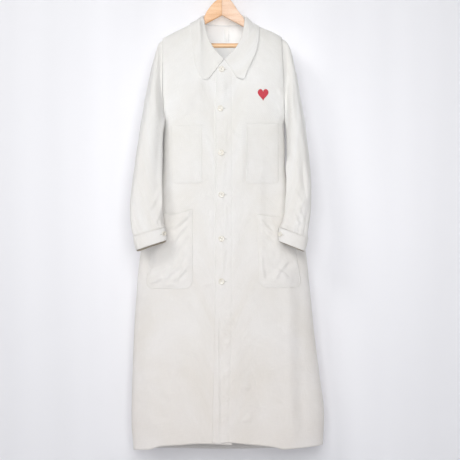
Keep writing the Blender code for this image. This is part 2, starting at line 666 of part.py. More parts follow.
def nearest(edges, point):
    """The place and the normal on the panels' neck edges that lie nearest to a point."""
    best = None
    for places, normals in edges:
        for i in range(len(places) - 1):
            span = places[i + 1] - places[i]
            share = float(np.clip(np.dot(point - places[i], span) / np.dot(span, span), 0, 1))
            place = places[i] + span * share
            distance = np.linalg.norm(point - place)
            if best is None or distance < best[2]:
                best = (place, unit(normals[i] * (1 - share) + normals[i + 1] * share), distance)
    return best[:2]


def collar(trees, right_edges, left_edges):
    """Stand and fall in one wall, folded at the roll line, the fall lying on the panels."""
    stations = along(COLLAR, COLLAR_COLUMNS, COLLAR_STATIONS)
    grid = []
    ways = []
    for station, values in enumerate(stations):
        seam, roll, edge = values[0:3], values[3:6], values[6:9]
        facing = math.radians(values[9])
        side = -1.0 if station < COLLAR_STATIONS / 2 else 1.0
        seam, panel_normal = nearest(right_edges if side < 0 else left_edges, seam)
        up = unit(roll - seam)
        out = unit(np.array([side * 0.5 * math.sin(facing), -math.cos(facing), 0.85 * math.sin(facing)]))
        fold_out = unit(out - up * np.dot(out, up))
        centre = roll - up * COLLAR_ROLL
        inner = centre - fold_out * COLLAR_ROLL
        outer = centre + fold_out * COLLAR_ROLL
        start = seam + up * (SEAM + 0.5 + WALL / 2 * abs(np.dot(up, panel_normal)))
        profile = [start, (start + inner) / 2, inner, roll, outer]
        for share in (0.22, 0.48, 0.75, 1.0):
            point = outer + (edge - outer) * share
            hit = cast(trees, point + out * 60, -out)
            if hit is not None and share > 0.3:
                rise = np.dot(hit[0] - point, out) + WALL / 2 + LIFT
                if abs(rise) < 25:
                    point = point + out * rise * ease((share - 0.3) / 0.4)
            profile.append(point)
        grid.append(profile)
        ways.append([out] * 6)
    grid = np.array(grid).transpose(1, 0, 2)
    ways = np.array(ways).transpose(1, 0, 2)
    grid[3:] = raise_off(grid[3:], ways, trees, WALL / 2 + COLLAR_LIFT)
    fold = grid[3] - (grid[1] + grid[5]) / 2
    normals = normals_of(grid)
    if np.sum(normals[3] * fold) < 0:
        normals = -normals
    return cloth("collar", grid, normals)


def pocket(name, trees):
    """A patch with rounded lower corners, laid on the panel."""
    size = dict(zip(POCKET_COLUMNS.split(), POCKETS[name]))
    across = 1 - (1 - np.linspace(0, 1, POCKET_STEPS)) ** 1.4
    height = size["inner_mouth"] - size["foot"]
    corner = size["corner"]
    straight = [(v, 0.0) for v in np.linspace(0, 1 - corner / height, POCKET_ROWS - 3)]
    rounded = [
        (1 - corner * (1 - math.sin(turn)) / height, corner * (1 - math.cos(turn)))
        for turn in np.radians((35, 65, 90))
    ]
    grid = np.zeros((POCKET_ROWS, POCKET_STEPS, 3))
    normals = np.zeros_like(grid)
    for r, (v, pull) in enumerate(straight + rounded):
        inner = size["inner_top"] + (size["inner_foot"] - size["inner_top"]) * v
        outer = size["outer_top"] + (size["outer_foot"] - size["outer_top"]) * v
        sign = 1.0 if outer > inner else -1.0
        for c, u in enumerate(across):
            mouth = size["inner_mouth"] + (size["outer_mouth"] - size["inner_mouth"]) * u
            x = inner + sign * pull + (outer - inner - 2 * sign * pull) * u
            z = mouth + (size["foot"] - mouth) * v
            place, normal = cast(trees, (x, -500.0, z), (0.0, 1.0, 0.0))
            grid[r, c] = place + normal * (WALL / 2 + LIFT)
            normals[r, c] = normal
    normals = unit(normals + outward(normals_of(grid), grid, MIDDLE_Y))
    grid = raise_off(grid, normals, trees, WALL / 2 + POCKET_LIFT)
    return cloth(name, grid, normals)


def turned(name, profile, place, axis, steps, slot):
    """A body turned round an axis: profile has (radius, height) pairs, first and last on it."""
    axis = unit(np.asarray(axis, float))
    side = unit(np.cross(axis, [0.0, 0.0, 1.0]) if abs(axis[2]) < 0.9 else np.cross(axis, [1.0, 0, 0]))
    third = np.cross(axis, side)
    rings = profile[1:-1]
    points = [np.asarray(place) + axis * profile[0][1]]
    for radius, height in rings:
        for i in range(steps):
            turn = 2 * math.pi * i / steps
            spoke = side * math.cos(turn) + third * math.sin(turn)
            points.append(np.asarray(place) + spoke * radius + axis * height)
    points.append(np.asarray(place) + axis * profile[-1][1])
    last = len(points) - 1
    faces = []
    for i in range(steps):
        n = (i + 1) % steps
        faces.append((0, 1 + n, 1 + i))
        for k in range(len(rings) - 1):
            a = 1 + k * steps
            faces.append((a + i, a + n, a + steps + n, a + steps + i))
        a = 1 + (len(rings) - 1) * steps
        faces.append((a + i, a + n, last))
    return add(name, np.array(points), faces, slot)


def button(name, place, normal, radius):
    """A disc with a raised rim and a sunk middle."""
    profile = [
        (0, 0), (0.80 * radius, 0), (radius, 0.35 * BUTTON_HEIGHT), (0.95 * radius, BUTTON_HEIGHT),
        (0.72 * radius, 0.95 * BUTTON_HEIGHT), (0.58 * radius, 0.6 * BUTTON_HEIGHT),
        (0, 0.6 * BUTTON_HEIGHT),
    ]
    return turned(name, profile, place + normal * LIFT, normal, BUTTON_STEPS, "button")


def seat(trees, point, way, radius):
    """Place and normal of a plane that touches the cloth under a disc without cutting it."""
    centre, normal = cast(trees, point - way * 60, way)
    side = unit(np.cross(way, [0.0, 0.0, 1.0]))
    third = np.cross(way, side)
    highest = 0.0
    for share in (0.5, 1.0):
        for i in range(12):
            turn = math.pi * i / 6
            spoke = side * math.cos(turn) + third * math.sin(turn)
            hit = cast(trees, centre + share * radius * spoke - way * 60, way)
            if hit is not None:
                highest = max(highest, float(np.dot(hit[0] - centre, normal)))
    return centre + normal * highest, normal


def front_buttons(trees):
    for i, (x, z) in enumerate(zip(FRONT_BUTTONS["x"], FRONT_BUTTONS["z"])):
        point = np.array([x, -100.0, z])
        place, normal = seat(trees, point, np.array([0.0, 1.0, 0.0]), BUTTON_RADIUS)
        button(f"front_button_{i + 1}", place, normal, BUTTON_RADIUS)


def cuff_button(name, rows, tree):
    """The button on the upper end of the cuff's lap."""
    level = {}
    for column, values in rows.items():
        level[column] = values[:1] + (values[-1:] - values[:1]) * CUFF_BUTTON_SHARE
    point = ring(level, np.array([CUFF_BUTTON_ANGLE]))[0, 0]
    way = unit(ring_centres(level)[0, 0] - point)
    place, normal = seat([tree], point, way, CUFF_BUTTON_RADIUS)
    button(name, place, normal, CUFF_BUTTON_RADIUS)


def badge(trees):
    """A heart cut from felt, as rings that shrink to its middle, laid on the panel."""
    steps = 28
    turns = np.linspace(0, 2 * math.pi, steps, endpoint=False)
    heart_x = np.sin(turns) ** 3
    heart_z = 13 * np.cos(turns) - 5 * np.cos(2 * turns) - 2 * np.cos(3 * turns) - np.cos(4 * turns)
    heart_z = heart_z / 14.5
    upper = []
    lower = []
    for size in (1.0, 0.5):
        for hx, hz in zip(heart_x, heart_z):
            x = BADGE_X + size * BADGE_WIDTH / 2 * hx
            z = BADGE_Z + size * BADGE_HEIGHT / 2 * hz
            place, normal = cast(trees, (x, -500.0, z), (0.0, 1.0, 0.0))
            lower.append(place + normal * LIFT)
            upper.append(place + normal * (LIFT + BADGE_THICKNESS))
    place, normal = cast(trees, (BADGE_X, -500.0, BADGE_Z), (0.0, 1.0, 0.0))
    lower.append(place + normal * LIFT)
    upper.append(place + normal * (LIFT + BADGE_THICKNESS))
    count = 2 * steps + 1
    points = np.array(upper + lower)
    faces = []
    for i in range(steps):
        n = (i + 1) % steps
        faces.append((i, n, steps + n, steps + i))
        faces.append((steps + i, steps + n, 2 * steps))
        faces.append((count + n, count + i, count + steps + i, count + steps + n))
        faces.append((count + steps + n, count + steps + i, count + 2 * steps))
        faces.append((n, i, count + i, count + n))
    return add("badge", points, faces, "badge")


def hanging_loop(back_tree):
    """A narrow strip sewn inside the back neck, standing a little off the back between its ends."""
    rows = 8
    columns = 3
    grid = np.zeros((rows, columns, 3))
    for r, v in enumerate(np.linspace(0, 1, rows)):
        for c, u in enumerate(np.linspace(-0.5, 0.5, columns)):
            x = LOOP_X + LOOP_WIDTH * u
            z = LOOP_TOP + (LOOP_FOOT - LOOP_TOP) * v
            place, _ = cast([back_tree], (x, -20.0, z), (0.0, 1.0, 0.0))
            off = LOOP_WALL / 2 + LIFT + LOOP_BOW * math.sin(math.pi * v)
            grid[r, c] = place - np.array([0.0, off, 0.0])
    normals = normals_of(grid)
    if np.sum(normals[..., 1]) > 0:
        normals = -normals
    points, faces = wall_mesh(grid, normals, LOOP_WALL)
    return add("hanging_loop", points, faces, "cloth")


def hanger_arm(name, side, rows, shoulder):
    """Half of the hanger: flat faces, rounded edges, in sections from the joint to the end.

    Inside the coat its upper edge stays just under the shoulder seam, which rests on it.
    """
    steps = 12
    half = WOOD_THICKNESS / 2
    points = []
    neck_out = abs(shoulder["x"][-1])
    for out, top, low in zip(*rows.values()):
        if out > neck_out:
            top = min(top, float(smooth(shoulder, "x", "z", side * out)) - WALL / 2 - LIFT)
        middle = (top + low) / 2
        tall = (top - low) / 2
        thick = half * (1 - 0.15 * out / 174)
        corner = min(thick * 0.8, tall * 0.9)
        for i in range(steps):
            turn = 2 * math.pi * (i + 0.5) / steps
            wide = math.cos(turn)
            high = math.sin(turn)
            y = math.copysign(thick - corner + corner * min(1.0, abs(wide) * 1.15), wide)
            z = math.copysign(tall - corner + corner * abs(high), high)
            points.append((side * out, bow(out) + y, middle + z))
    sections = len(rows["out"])
    faces = [tuple(range(steps)), tuple(reversed(range((sections - 1) * steps, sections * steps)))]
    for k in range(sections - 1):
        for i in range(steps):
            n = (i + 1) % steps
            a = k * steps
            faces.append((a + i, a + steps + i, a + steps + n, a + n))
    return add(name, np.array(points), faces, "wood")


def trouser_bar():
    """A round rod from lug to lug, level, as far forward as the lugs are."""
    y = float(bow(150.0))
    profile = [(0, -BAR_REACH), (BAR_RADIUS, -BAR_REACH), (BAR_RADIUS, BAR_REACH), (0, BAR_REACH)]
    return turned("trouser_bar", profile, (0.0, y, BAR_HEIGHT), (1.0, 0.0, 0.0), 14, "wood")


def hook():
    """A round wire: a straight stem, then a bend that opens to the viewer's left."""
    centre_z = -(HOOK_RADIUS - WIRE_RADIUS)
    wood_top = float(ARM_RIGHT["top"][0])
    path = [(0.0, wood_top + 0.1), (0.0, wood_top + 12.0), (3.0, wood_top + 20.0)]
    for i in range(15):
        turn = math.radians(-55 + (235 * i / 14))
        path.append((HOOK_RADIUS * math.cos(turn), centre_z + HOOK_RADIUS * math.sin(turn)))
    path = np.array(path)
    steps = 10
    points = []
    direction = unit(np.gradient(path, axis=0))
    for (x, z), (dx, dz) in zip(path, direction):
        for i in range(steps):
            turn = 2 * math.pi * i / steps
            aside = WIRE_RADIUS * math.cos(turn)
            points.append((x + aside * dz, WIRE_RADIUS * math.sin(turn), z - aside * dx))
    sections = len(path)
    faces = [tuple(range(steps)), tuple(reversed(range((sections - 1) * steps, sections * steps)))]
    for k in range(sections - 1):
        for i in range(steps):
            n = (i + 1) % steps
            a = k * steps
            faces.append((a + i, a + steps + i, a + steps + n, a + n))
    return add("hook", np.array(points), faces, "steel")


def main():
    for item in list(bpy.data.objects):
        bpy.data.objects.remove(item)
    under, under_neck = front_panel(
        "front_right", -1, SHOULDER_RIGHT, NECK_UNDER, EDGE_UNDER, HEM_UNDER, -OVERLAP_STEP / 2
    )
    upper, upper_neck = front_panel(
        "front_left", 1, SHOULDER_LEFT, NECK_UPPER, EDGE_UPPER, HEM_UPPER, OVERLAP_STEP / 2
    )
    back, back_neck = back_panel()
    collar([under, upper, back], [under_neck, back_neck], [upper_neck, back_neck])
    sleeve("sleeve_right", -1, SLEEVE_RIGHT, SHOULDER_RIGHT)
    sleeve("sleeve_left", 1, SLEEVE_LEFT, SHOULDER_LEFT)
    for name in POCKETS:
        pocket(name, [under, upper])
    front_buttons([under, upper])
    for wearer_side, rows in (("right", CUFF_RIGHT), ("left", CUFF_LEFT)):
        cuff_button(f"cuff_button_{wearer_side}", rows, cuff(f"cuff_{wearer_side}", rows))
    badge([upper])
    hanging_loop(back)
    hanger_arm("hanger_arm_right", -1, ARM_RIGHT, SHOULDER_RIGHT)
    hanger_arm("hanger_arm_left", 1, ARM_LEFT, SHOULDER_LEFT)
    trouser_bar()
    hook()


main()
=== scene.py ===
import math

import bmesh
import bpy
import numpy as np
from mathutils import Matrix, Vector
from mathutils.bvhtree import BVHTree


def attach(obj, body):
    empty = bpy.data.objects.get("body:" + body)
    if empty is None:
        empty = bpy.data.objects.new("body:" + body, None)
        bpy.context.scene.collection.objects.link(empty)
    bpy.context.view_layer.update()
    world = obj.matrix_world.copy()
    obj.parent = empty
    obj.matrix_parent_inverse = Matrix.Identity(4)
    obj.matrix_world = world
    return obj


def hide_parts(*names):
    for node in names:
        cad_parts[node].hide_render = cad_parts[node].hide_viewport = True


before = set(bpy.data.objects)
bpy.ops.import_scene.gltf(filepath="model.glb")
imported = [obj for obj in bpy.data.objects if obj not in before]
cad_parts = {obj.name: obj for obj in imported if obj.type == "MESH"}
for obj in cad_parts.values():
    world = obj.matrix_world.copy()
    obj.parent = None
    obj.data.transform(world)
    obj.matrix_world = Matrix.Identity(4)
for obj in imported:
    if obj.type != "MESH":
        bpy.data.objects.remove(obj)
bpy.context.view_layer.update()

# The room: a matt wall a little behind the coat and a pale floor below it. The light is a
# large soft panel straight in front and a smaller one at the upper left, with one behind the
# wall for the coat's back.
MM = 0.001
EYE = (24.0, -3200.0, -768.0)
VIEW_WIDTH_AT_COAT = 1380.0
SENSOR = 36.0
WALL_Y = 76.0
FLOOR_Z = -1620.0
# Centre of the painted light on the wall and the floor: their colour is palest here.
PAINTED_LIGHT_CENTRE = (0.16, WALL_Y * MM, -0.65)

camera_data = bpy.data.cameras.new("camera")
camera_data.sensor_width = SENSOR
camera_data.lens = SENSOR * -EYE[1] / VIEW_WIDTH_AT_COAT
camera_data.clip_end = 30.0
camera = bpy.data.objects.new("camera", camera_data)
camera.location = [value * MM for value in EYE]
camera.rotation_euler = (math.pi / 2, 0.0, 0.0)
bpy.context.scene.collection.objects.link(camera)
bpy.context.scene.camera = camera


def new_material(name, roughness, specular=0.5, more=None):
    """A material with its Principled shader, node list and link list. more holds further
    values of the shader's inputs."""
    made = bpy.data.materials.new(name)
    made.use_nodes = True
    shader = made.node_tree.nodes["Principled BSDF"]
    values = {"Roughness": roughness, "Specular IOR Level": specular}
    for socket, value in {**values, **(more or {})}.items():
        shader.inputs[socket].default_value = value
    return made, shader, made.node_tree.nodes, made.node_tree.links


def add_node(nodes, kind, inputs=None, **settings):
    """A new shader node with its settings and the values of its inputs, by name or number."""
    node = nodes.new("ShaderNode" + kind)
    for setting, value in settings.items():
        setattr(node, setting, value)
    for socket, value in (inputs or {}).items():
        node.inputs[socket].default_value = value
    return node


def ramp(nodes, low, high, start=0.0, stop=1.0):
    """A colour ramp from a low colour at start to a high one at stop."""
    tone = nodes.new("ShaderNodeValToRGB")
    for element, at, colour in zip(tone.color_ramp.elements, (start, stop), (low, high)):
        element.position = at
        element.color = list(colour) + [1.0]
    return tone


def link_up(links, *runs):
    """Links from an output of one node to an input of another, by name or number."""
    for giver, output, taker, socket in runs:
        links.new(giver.outputs[output], taker.inputs[socket])


def plain_paint(name, colour, roughness):
    """A matt surface with very faint upright bands of painted shade, and painted light: palest at
    one place and duller far from it, for the wall and the floor. It is clear from behind and to
    the light, so that the coat's back is lit and can be looked at."""
    paint, shader, nodes, links = new_material(name, roughness, 0.2)
    place = add_node(nodes, "TexCoord")
    # Painted shade in faint upright bands.
    upright = add_node(nodes, "Mapping", {"Scale": (6.5, 1.0, 0.35)})
    patches = add_node(nodes, "TexNoise", {"Scale": 1.0, "Detail": 1.5})
    tone = ramp(nodes, [0.955 * part for part in colour], colour, 0.3, 0.7)
    away = add_node(nodes, "VectorMath", {1: PAINTED_LIGHT_CENTRE}, operation="DISTANCE")
    # Painted light: the colour dulls with distance from its centre.
    painted_light_falloff = add_node(nodes, "MapRange", {
        "From Min": 0.25, "From Max": 1.15, "To Min": 1.0, "To Max": 0.865,
    })
    shade = add_node(nodes, "Mix", {0: 1.0}, data_type="RGBA", blend_type="MULTIPLY")
    side = add_node(nodes, "NewGeometry")
    rays = add_node(nodes, "LightPath")
    through = add_node(nodes, "Math", operation="MAXIMUM")
    clear = add_node(nodes, "BsdfTransparent")
    one_sided = add_node(nodes, "MixShader")
    link_up(
        links,
        (place, "Object", upright, "Vector"), (place, "Object", away, 0),
        (upright, "Vector", patches, "Vector"), (patches, "Fac", tone, "Fac"),
        (away, "Value", painted_light_falloff, "Value"), (tone, "Color", shade, 6), (painted_light_falloff, "Result", shade, 7),
        (shade, 2, shader, "Base Color"), (side, "Backfacing", through, 0),
        (rays, "Is Shadow Ray", through, 1), (through, "Value", one_sided, 0),
        (shader, "BSDF", one_sided, 1), (clear, "BSDF", one_sided, 2),
        (one_sided, "Shader", nodes["Material Output"], "Surface"),
    )
    return paint


def backdrop_mesh(name, corners, paint):
    """One flat rectangle through four corners given in millimetres."""
    mesh = bpy.data.meshes.new(name)
    mesh.from_pydata([[value * MM for value in corner] for corner in corners], [], [(0, 1, 2, 3)])
    mesh.materials.append(paint)
    sheet = bpy.data.objects.new(name, mesh)
    bpy.context.scene.collection.objects.link(sheet)


WALL_COLOUR = (0.94, 0.94, 0.972)
FLOOR_COLOUR = (0.78, 0.78, 0.80)
backdrop_mesh(
    "wall",
    [(-4000, WALL_Y, FLOOR_Z), (4000, WALL_Y, FLOOR_Z), (4000, WALL_Y, 2500), (-4000, WALL_Y, 2500)],
    plain_paint("wall_paint", WALL_COLOUR, 0.9),
)
backdrop_mesh(
    "floor",
    [(-4000, -5000, FLOOR_Z), (4000, -5000, FLOOR_Z), (4000, WALL_Y, FLOOR_Z), (-4000, WALL_Y, FLOOR_Z)],
    plain_paint("floor_paint", FLOOR_COLOUR, 0.85),
)


def soft_light(name, place, target, width, height, power, colour):
    """A rectangular light at a place, turned to face a target, both in millimetres."""
    data = bpy.data.lights.new(name, "AREA")
    data.shape = "RECTANGLE"
    data.size = width
    data.size_y = height
    data.energy = power
    data.color = colour
    light = bpy.data.objects.new(name, data)
    light.location = [value * MM for value in place]
    aim = Vector([(t - p) * MM for t, p in zip(target, place)])
    light.rotation_euler = aim.to_track_quat("-Z", "Y").to_euler()
    bpy.context.scene.collection.objects.link(light)


soft_light("key", (-1900, -2500, 1300), (0, 0, -600), 1.2, 1.2, 36.0, (1.0, 0.99, 0.97))
soft_light("front", (0, -3600, 150), (0, 0, -600), 2.2, 2.2, 88.0, (1.0, 1.0, 1.0))
soft_light("behind", (1700, 2300, 1000), (0, 0, -700), 2.0, 2.0, 48.0, (1.0, 1.0, 1.0))

sky = bpy.data.worlds.new("studio")
sky.use_nodes = True
sky.node_tree.nodes["Background"].inputs["Color"].default_value = (0.93, 0.95, 1.0, 1.0)
sky.node_tree.nodes["Background"].inputs["Strength"].default_value = 0.12
bpy.context.scene.world = sky
bpy.context.scene.view_settings.view_transform = "Standard"


# The hanger: two arms cut from beech board, glued at the middle and bowed forwards, their
# upper edges rounded for the shoulders and their ends notched for the round trouser bar.
# The wood is planed, sanded and clear varnished.
WOOD_THICKNESS = 14.0
BOW = 0.12
ARM_END = 174.0
ARM_UNDER_SEAM = 1.9
ARM_COLUMNS = "out top low"


def table(columns, rows):
    """A table with named columns, each one an array."""
    return dict(zip(columns.split(), np.array(rows, float).T))


ARM_RIGHT = table(ARM_COLUMNS, [
    (0.2, -66.5, -124.4), (12.6, -77.0, -131.6), (27, -89.5, -139.6), (36, -100.5, -144.6),
    (44, -111.5, -149.0), (49, -121.0, -151.8), (52, -129.5, -153.5), (55, -137.0, -155.2),
    (60, -140.4, -158.0), (68, -143.6, -162.4), (95, -156.4, -177.0), (125, -171.9, -194.0),
    (143, -181.5, -204.5), (146, -183.0, -222.5), (152, -186.2, -228.0), (161, -191.0, -229.0),
    (169, -196.2, -225.0), (174, -204.0, -213.0),
])
ARM_LEFT = table(ARM_COLUMNS, [
    (0.2, -66.5, -124.4), (13, -69.5, -131.8), (25, -78.5, -138.6), (36, -93.0, -144.6),
    (46, -108.5, -150.0), (54, -119.8, -154.6), (61, -128.2, -158.5), (65, -136.0, -160.7),
    (69, -144.0, -162.9), (76, -148.2, -166.8), (95, -155.6, -177.0), (125, -169.5, -194.0),
    (143, -178.5, -204.5), (146, -180.0, -222.5), (152, -182.6, -228.0), (161, -188.0, -229.0),
    (169, -194.4, -225.0), (174, -203.0, -213.0),
])
SHOULDER_RIGHT = table("x z", [
    (-175.7, -196.5), (-140.2, -177.9), (-104.5, -159.2), (-67.3, -139.6),
])
SHOULDER_LEFT = table("x z", [
    (176.9, -194.1), (158.2, -181.8), (131.5, -170.0), (104.7, -158.3), (81.0, -146.4),
])


def smooth(source, key, column, at):
    """Reads a column at any place by a cubic whose slopes are the harmonic means of its
    neighbours, so that it passes through the table's points without overshooting them."""
    order = np.argsort(source[key])
    xs = source[key][order]
    ys = source[column][order]
    at = np.clip(np.asarray(at, float), xs[0], xs[-1])
    step = np.diff(xs)
    rise = np.diff(ys) / step
    slope = np.zeros(len(xs))
    slope[0] = rise[0]
    slope[-1] = rise[-1]
    product = rise[:-1] * rise[1:]
    total = np.where(np.abs(rise[:-1] + rise[1:]) < 1e-9, 1.0, rise[:-1] + rise[1:])
    slope[1:-1] = np.where(product > 0, 2.0 * product / total, 0.0)
    i = np.clip(np.searchsorted(xs, at, side="right") - 1, 0, len(xs) - 2)
    t = (at - xs[i]) / step[i]
    return (
        ys[i] * (1 + 2 * t) * (1 - t) ** 2
        + ys[i + 1] * t * t * (3 - 2 * t)
        + step[i] * t * (1 - t) * (slope[i] * (1 - t) - slope[i + 1] * t)
    )


def grid_faces(rows, columns, closed=False):
    """Corner numbers of the quads of a grid, row by row. A closed grid joins its last column
    to its first."""
    r, c = np.meshgrid(np.arange(rows - 1), np.arange(columns if closed else columns - 1), indexing="ij")
    n = (c + 1) % columns
    quads = [r * columns + c, (r + 1) * columns + c, (r + 1) * columns + n, r * columns + n]
    return np.stack(quads, axis=-1).reshape(-1, 4)


def turned_out(points, faces):
    """The same quads, turned round if the volume that they enclose comes out below zero."""
    a, b, c, d = (points[faces[:, i]] for i in range(4))
    volume = np.sum(a * np.cross(b, c)) + np.sum(a * np.cross(c, d))
    return faces if volume > 0 else faces[:, ::-1]


def make_piece(name, points, faces, finish, cut=None):
    """A smooth-shaded mesh object at the origin, from points in millimetres. cut holds each
    point's place on the flat cloth, and becomes the piece's UV map, in metres."""
    mesh = bpy.data.meshes.new(name)
    mesh.from_pydata(points * MM, [], faces)
    mesh.validate()
    if cut is not None:
        corners = np.zeros(len(mesh.loops), np.int32)
        mesh.loops.foreach_get("vertex_index", corners)
        layer = mesh.uv_layers.new(name="cut")
        layer.data.foreach_set("uv", (cut[corners] * MM).astype(np.float32).ravel())
    mesh.shade_smooth()
    mesh.materials.append(finish)
    piece = bpy.data.objects.new(name, mesh)
    bpy.context.scene.collection.objects.link(piece)
    return piece


def loft(rings):
    """Points and faces of a stack of rings, stations x steps x 3, with a flat face on each end."""
    stations, steps = rings.shape[:2]
    points = rings.reshape(-1, 3)
    sides = turned_out(points, grid_faces(stations, steps, closed=True))
    ends = [list(range(steps)), list(range(len(points) - steps, len(points)))]
    if sides[0][1] > sides[0][0] + 1:
        ends[1].reverse()
    else:
        ends[0].reverse()
    return points, sides.tolist() + ends


def shader_group(name, inputs, outputs):
    """An empty node group with named float or colour sockets: (name, kind, default)."""
    group = bpy.data.node_groups.new(name, "ShaderNodeTree")
    for label, kind, default in inputs:
        socket = group.interface.new_socket(label, in_out="INPUT", socket_type=kind)
        if default is not None:
            socket.default_value = default
    for label, kind in outputs:
        group.interface.new_socket(label, in_out="OUTPUT", socket_type=kind)
    start = group.nodes.new("NodeGroupInput")
    end = group.nodes.new("NodeGroupOutput")
    return group, start, end


def beech(name, pale, dark, grain_turn):
    """Varnished beech: long streaks of grain, short dark flecks and a thin clear coat. The
    grain runs along X, turned by grain_turn for an arm that slopes."""
    made, shader, nodes, links = new_material(
        name, 0.42, more={"Coat Weight": 0.35, "Coat Roughness": 0.22},
    )
    place = add_node(nodes, "TexCoord")
    slope = (0.0, grain_turn, 0.0)
    long_way = add_node(nodes, "Mapping", {"Rotation": slope, "Scale": (6.0, 120.0, 120.0)})
    short_way = add_node(nodes, "Mapping", {"Rotation": slope, "Scale": (170.0, 1400.0, 1400.0)})
    streaks = add_node(nodes, "TexNoise", {"Scale": 1.0, "Detail": 6.0})
    flecks = add_node(nodes, "TexNoise", {"Scale": 1.0})
    tone = ramp(nodes, dark, pale, 0.30, 0.68)
    fleck_mask = ramp(nodes, (0.0, 0.0, 0.0), (1.0, 1.0, 1.0), 0.62, 0.74)
    fleck_colour = [0.62 * part for part in dark] + [1.0]
    flecked = add_node(nodes, "Mix", data_type="RGBA")
    flecked.inputs[7].default_value = fleck_colour
    bump = add_node(nodes, "Bump", {"Strength": 0.15, "Distance": 0.0004})
    link_up(
        links,
        (place, "Object", long_way, "Vector"), (place, "Object", short_way, "Vector"),
        (long_way, "Vector", streaks, "Vector"), (short_way, "Vector", flecks, "Vector"),
        (streaks, "Fac", tone, "Fac"), (flecks, "Fac", fleck_mask, "Fac"),
        (fleck_mask, "Color", flecked, 0), (tone, "Color", flecked, 6),
        (flecked, 2, shader, "Base Color"), (streaks, "Fac", bump, "Height"),
        (bump, "Normal", shader, "Normal"),
    )
    return made


def hanger_arm(name, side, rows, shoulder, finish):
    """Half of the hanger: at each distance out, a rounded rectangle between the upper and the
    lower edge, on a middle plane that comes forward by BOW for each millimetre outwards."""
    stations, steps = 150, 40
    out = np.linspace(rows["out"][0], rows["out"][-1], stations)
    top = smooth(rows, "out", "top", out)
    low = smooth(rows, "out", "low", out)
    under_cloth = smooth(shoulder, "x", "z", side * out) - ARM_UNDER_SEAM
    top = np.where(out > abs(shoulder["x"][-1]), np.minimum(top, under_cloth), top)
    middle = (top + low)[:, None] / 2
    tall = (top - low)[:, None] / 2
    thick = (WOOD_THICKNESS / 2 * (1 - 0.15 * out / ARM_END))[:, None]
    corner = np.minimum(thick * 0.45, tall * 0.9)
    turn = 2 * math.pi * (np.arange(steps) + 0.5) / steps
    wide, high = np.cos(turn), np.sin(turn)
    y = np.sign(wide) * (thick - corner) + corner * wide
    z = np.sign(high) * (tall - corner) + corner * high
    x = np.repeat((side * out)[:, None], steps, axis=1)
    rings = np.stack([x, -BOW * out[:, None] + y, middle + z], axis=-1)
    points, faces = loft(rings)
    arm = make_piece(name, points, faces, finish)
    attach(arm, "root")
    return arm


# The two arms are the same beech in two colours: the wearer's right arm darker and more orange as painted
# shade, the left one paler as painted light, for how each faces the light.
arm_right = hanger_arm(
    "hanger_right", -1, ARM_RIGHT, SHOULDER_RIGHT,
    beech("beech_right_painted_shade", (0.90, 0.57, 0.32), (0.75, 0.40, 0.18), 0.45),
)
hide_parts("hanger_arm_right")
arm_left = hanger_arm(
    "hanger_left", 1, ARM_LEFT, SHOULDER_LEFT,
    beech("beech_left_painted_light", (0.85, 0.61, 0.45), (0.75, 0.47, 0.29), -0.45),
)
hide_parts("hanger_arm_left")


def round_bar(name, profile, centre_y, centre_z, finish):
    """A bar turned about a line along X: profile has columns x and radius."""
    turn = np.linspace(0, 2 * math.pi, 36, endpoint=False)
    x = np.repeat(profile["x"][:, None], len(turn), axis=1)
    y = centre_y + profile["radius"][:, None] * np.cos(turn)
    z = centre_z + profile["radius"][:, None] * np.sin(turn)
    points, faces = loft(np.stack([x, y, z], axis=-1))
    return make_piece(name, points, faces, finish)


BAR_PROFILE = table("x radius", [
    (-143.6, 5.6), (-142.8, 6.7), (-141.5, 7.0), (-70, 7.0), (0, 7.0), (70, 7.0),
    (141.5, 7.0), (142.8, 6.7), (143.6, 5.6),
])
bar = round_bar(
    "bar", BAR_PROFILE, -BOW * 150.0, -218.0,
    beech("beech_bar", (0.92, 0.63, 0.38), (0.82, 0.47, 0.24), 0.0),
)
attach(bar, "root")
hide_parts("trouser_bar")


# The hook: one length of bright plated wire, screwed into the top of the hanger and bent over,
# its end rounded off. The photograph cuts it off, so it is the plain kind.
HOOK_RADIUS = 22.0
WIRE_RADIUS = 1.8
HOOK_FOOT = -66.4


def wire(path, radius, steps):
    """A tube along a path in the plane y = 0, shrinking to a dome over its last few points."""
    direction = np.gradient(path, axis=0)
    direction /= np.linalg.norm(direction, axis=1, keepdims=True)
    turn = np.linspace(0, 2 * math.pi, steps, endpoint=False)
    aside = radius[:, None] * np.cos(turn)
    x = path[:, :1] + aside * direction[:, 1:]
    y = radius[:, None] * np.sin(turn)
    z = path[:, 1:] - aside * direction[:, :1]
    return loft(np.stack([x, y, z], axis=-1))


def bright_wire():
    """Plated steel, a little dulled in patches."""
    made, shader, nodes, links = new_material("plated_wire", 0.25, more={"Metallic": 1.0})
    place = add_node(nodes, "TexCoord")
    patches = add_node(nodes, "TexNoise", {"Scale": 90.0, "Detail": 5.0})
    tone = ramp(nodes, (0.46, 0.46, 0.47), (0.72, 0.72, 0.72))
    dull = add_node(nodes, "MapRange", {"To Min": 0.16, "To Max": 0.42})
    link_up(
        links,
        (place, "Object", patches, "Vector"), (patches, "Fac", tone, "Fac"),
        (patches, "Fac", dull, "Value"), (tone, "Color", shader, "Base Color"),
        (dull, "Result", shader, "Roughness"),
    )
    return made


hook_centre_z = WIRE_RADIUS - HOOK_RADIUS
bend = np.radians(np.linspace(-55, 180, 90))
hook_path = np.concatenate([
    [(0.0, HOOK_FOOT), (0.0, HOOK_FOOT + 6), (0.0, HOOK_FOOT + 12), (3.0, HOOK_FOOT + 20)],
    np.stack([HOOK_RADIUS * np.cos(bend), hook_centre_z + HOOK_RADIUS * np.sin(bend)], axis=-1),
])
wire_radius = np.full(len(hook_path), WIRE_RADIUS)
wire_radius[-3:] = WIRE_RADIUS * np.array([0.94, 0.75, 0.35])
hook = make_piece("hook_wire", *wire(hook_path, wire_radius, 20), bright_wire())
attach(hook, "root")
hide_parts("hook")


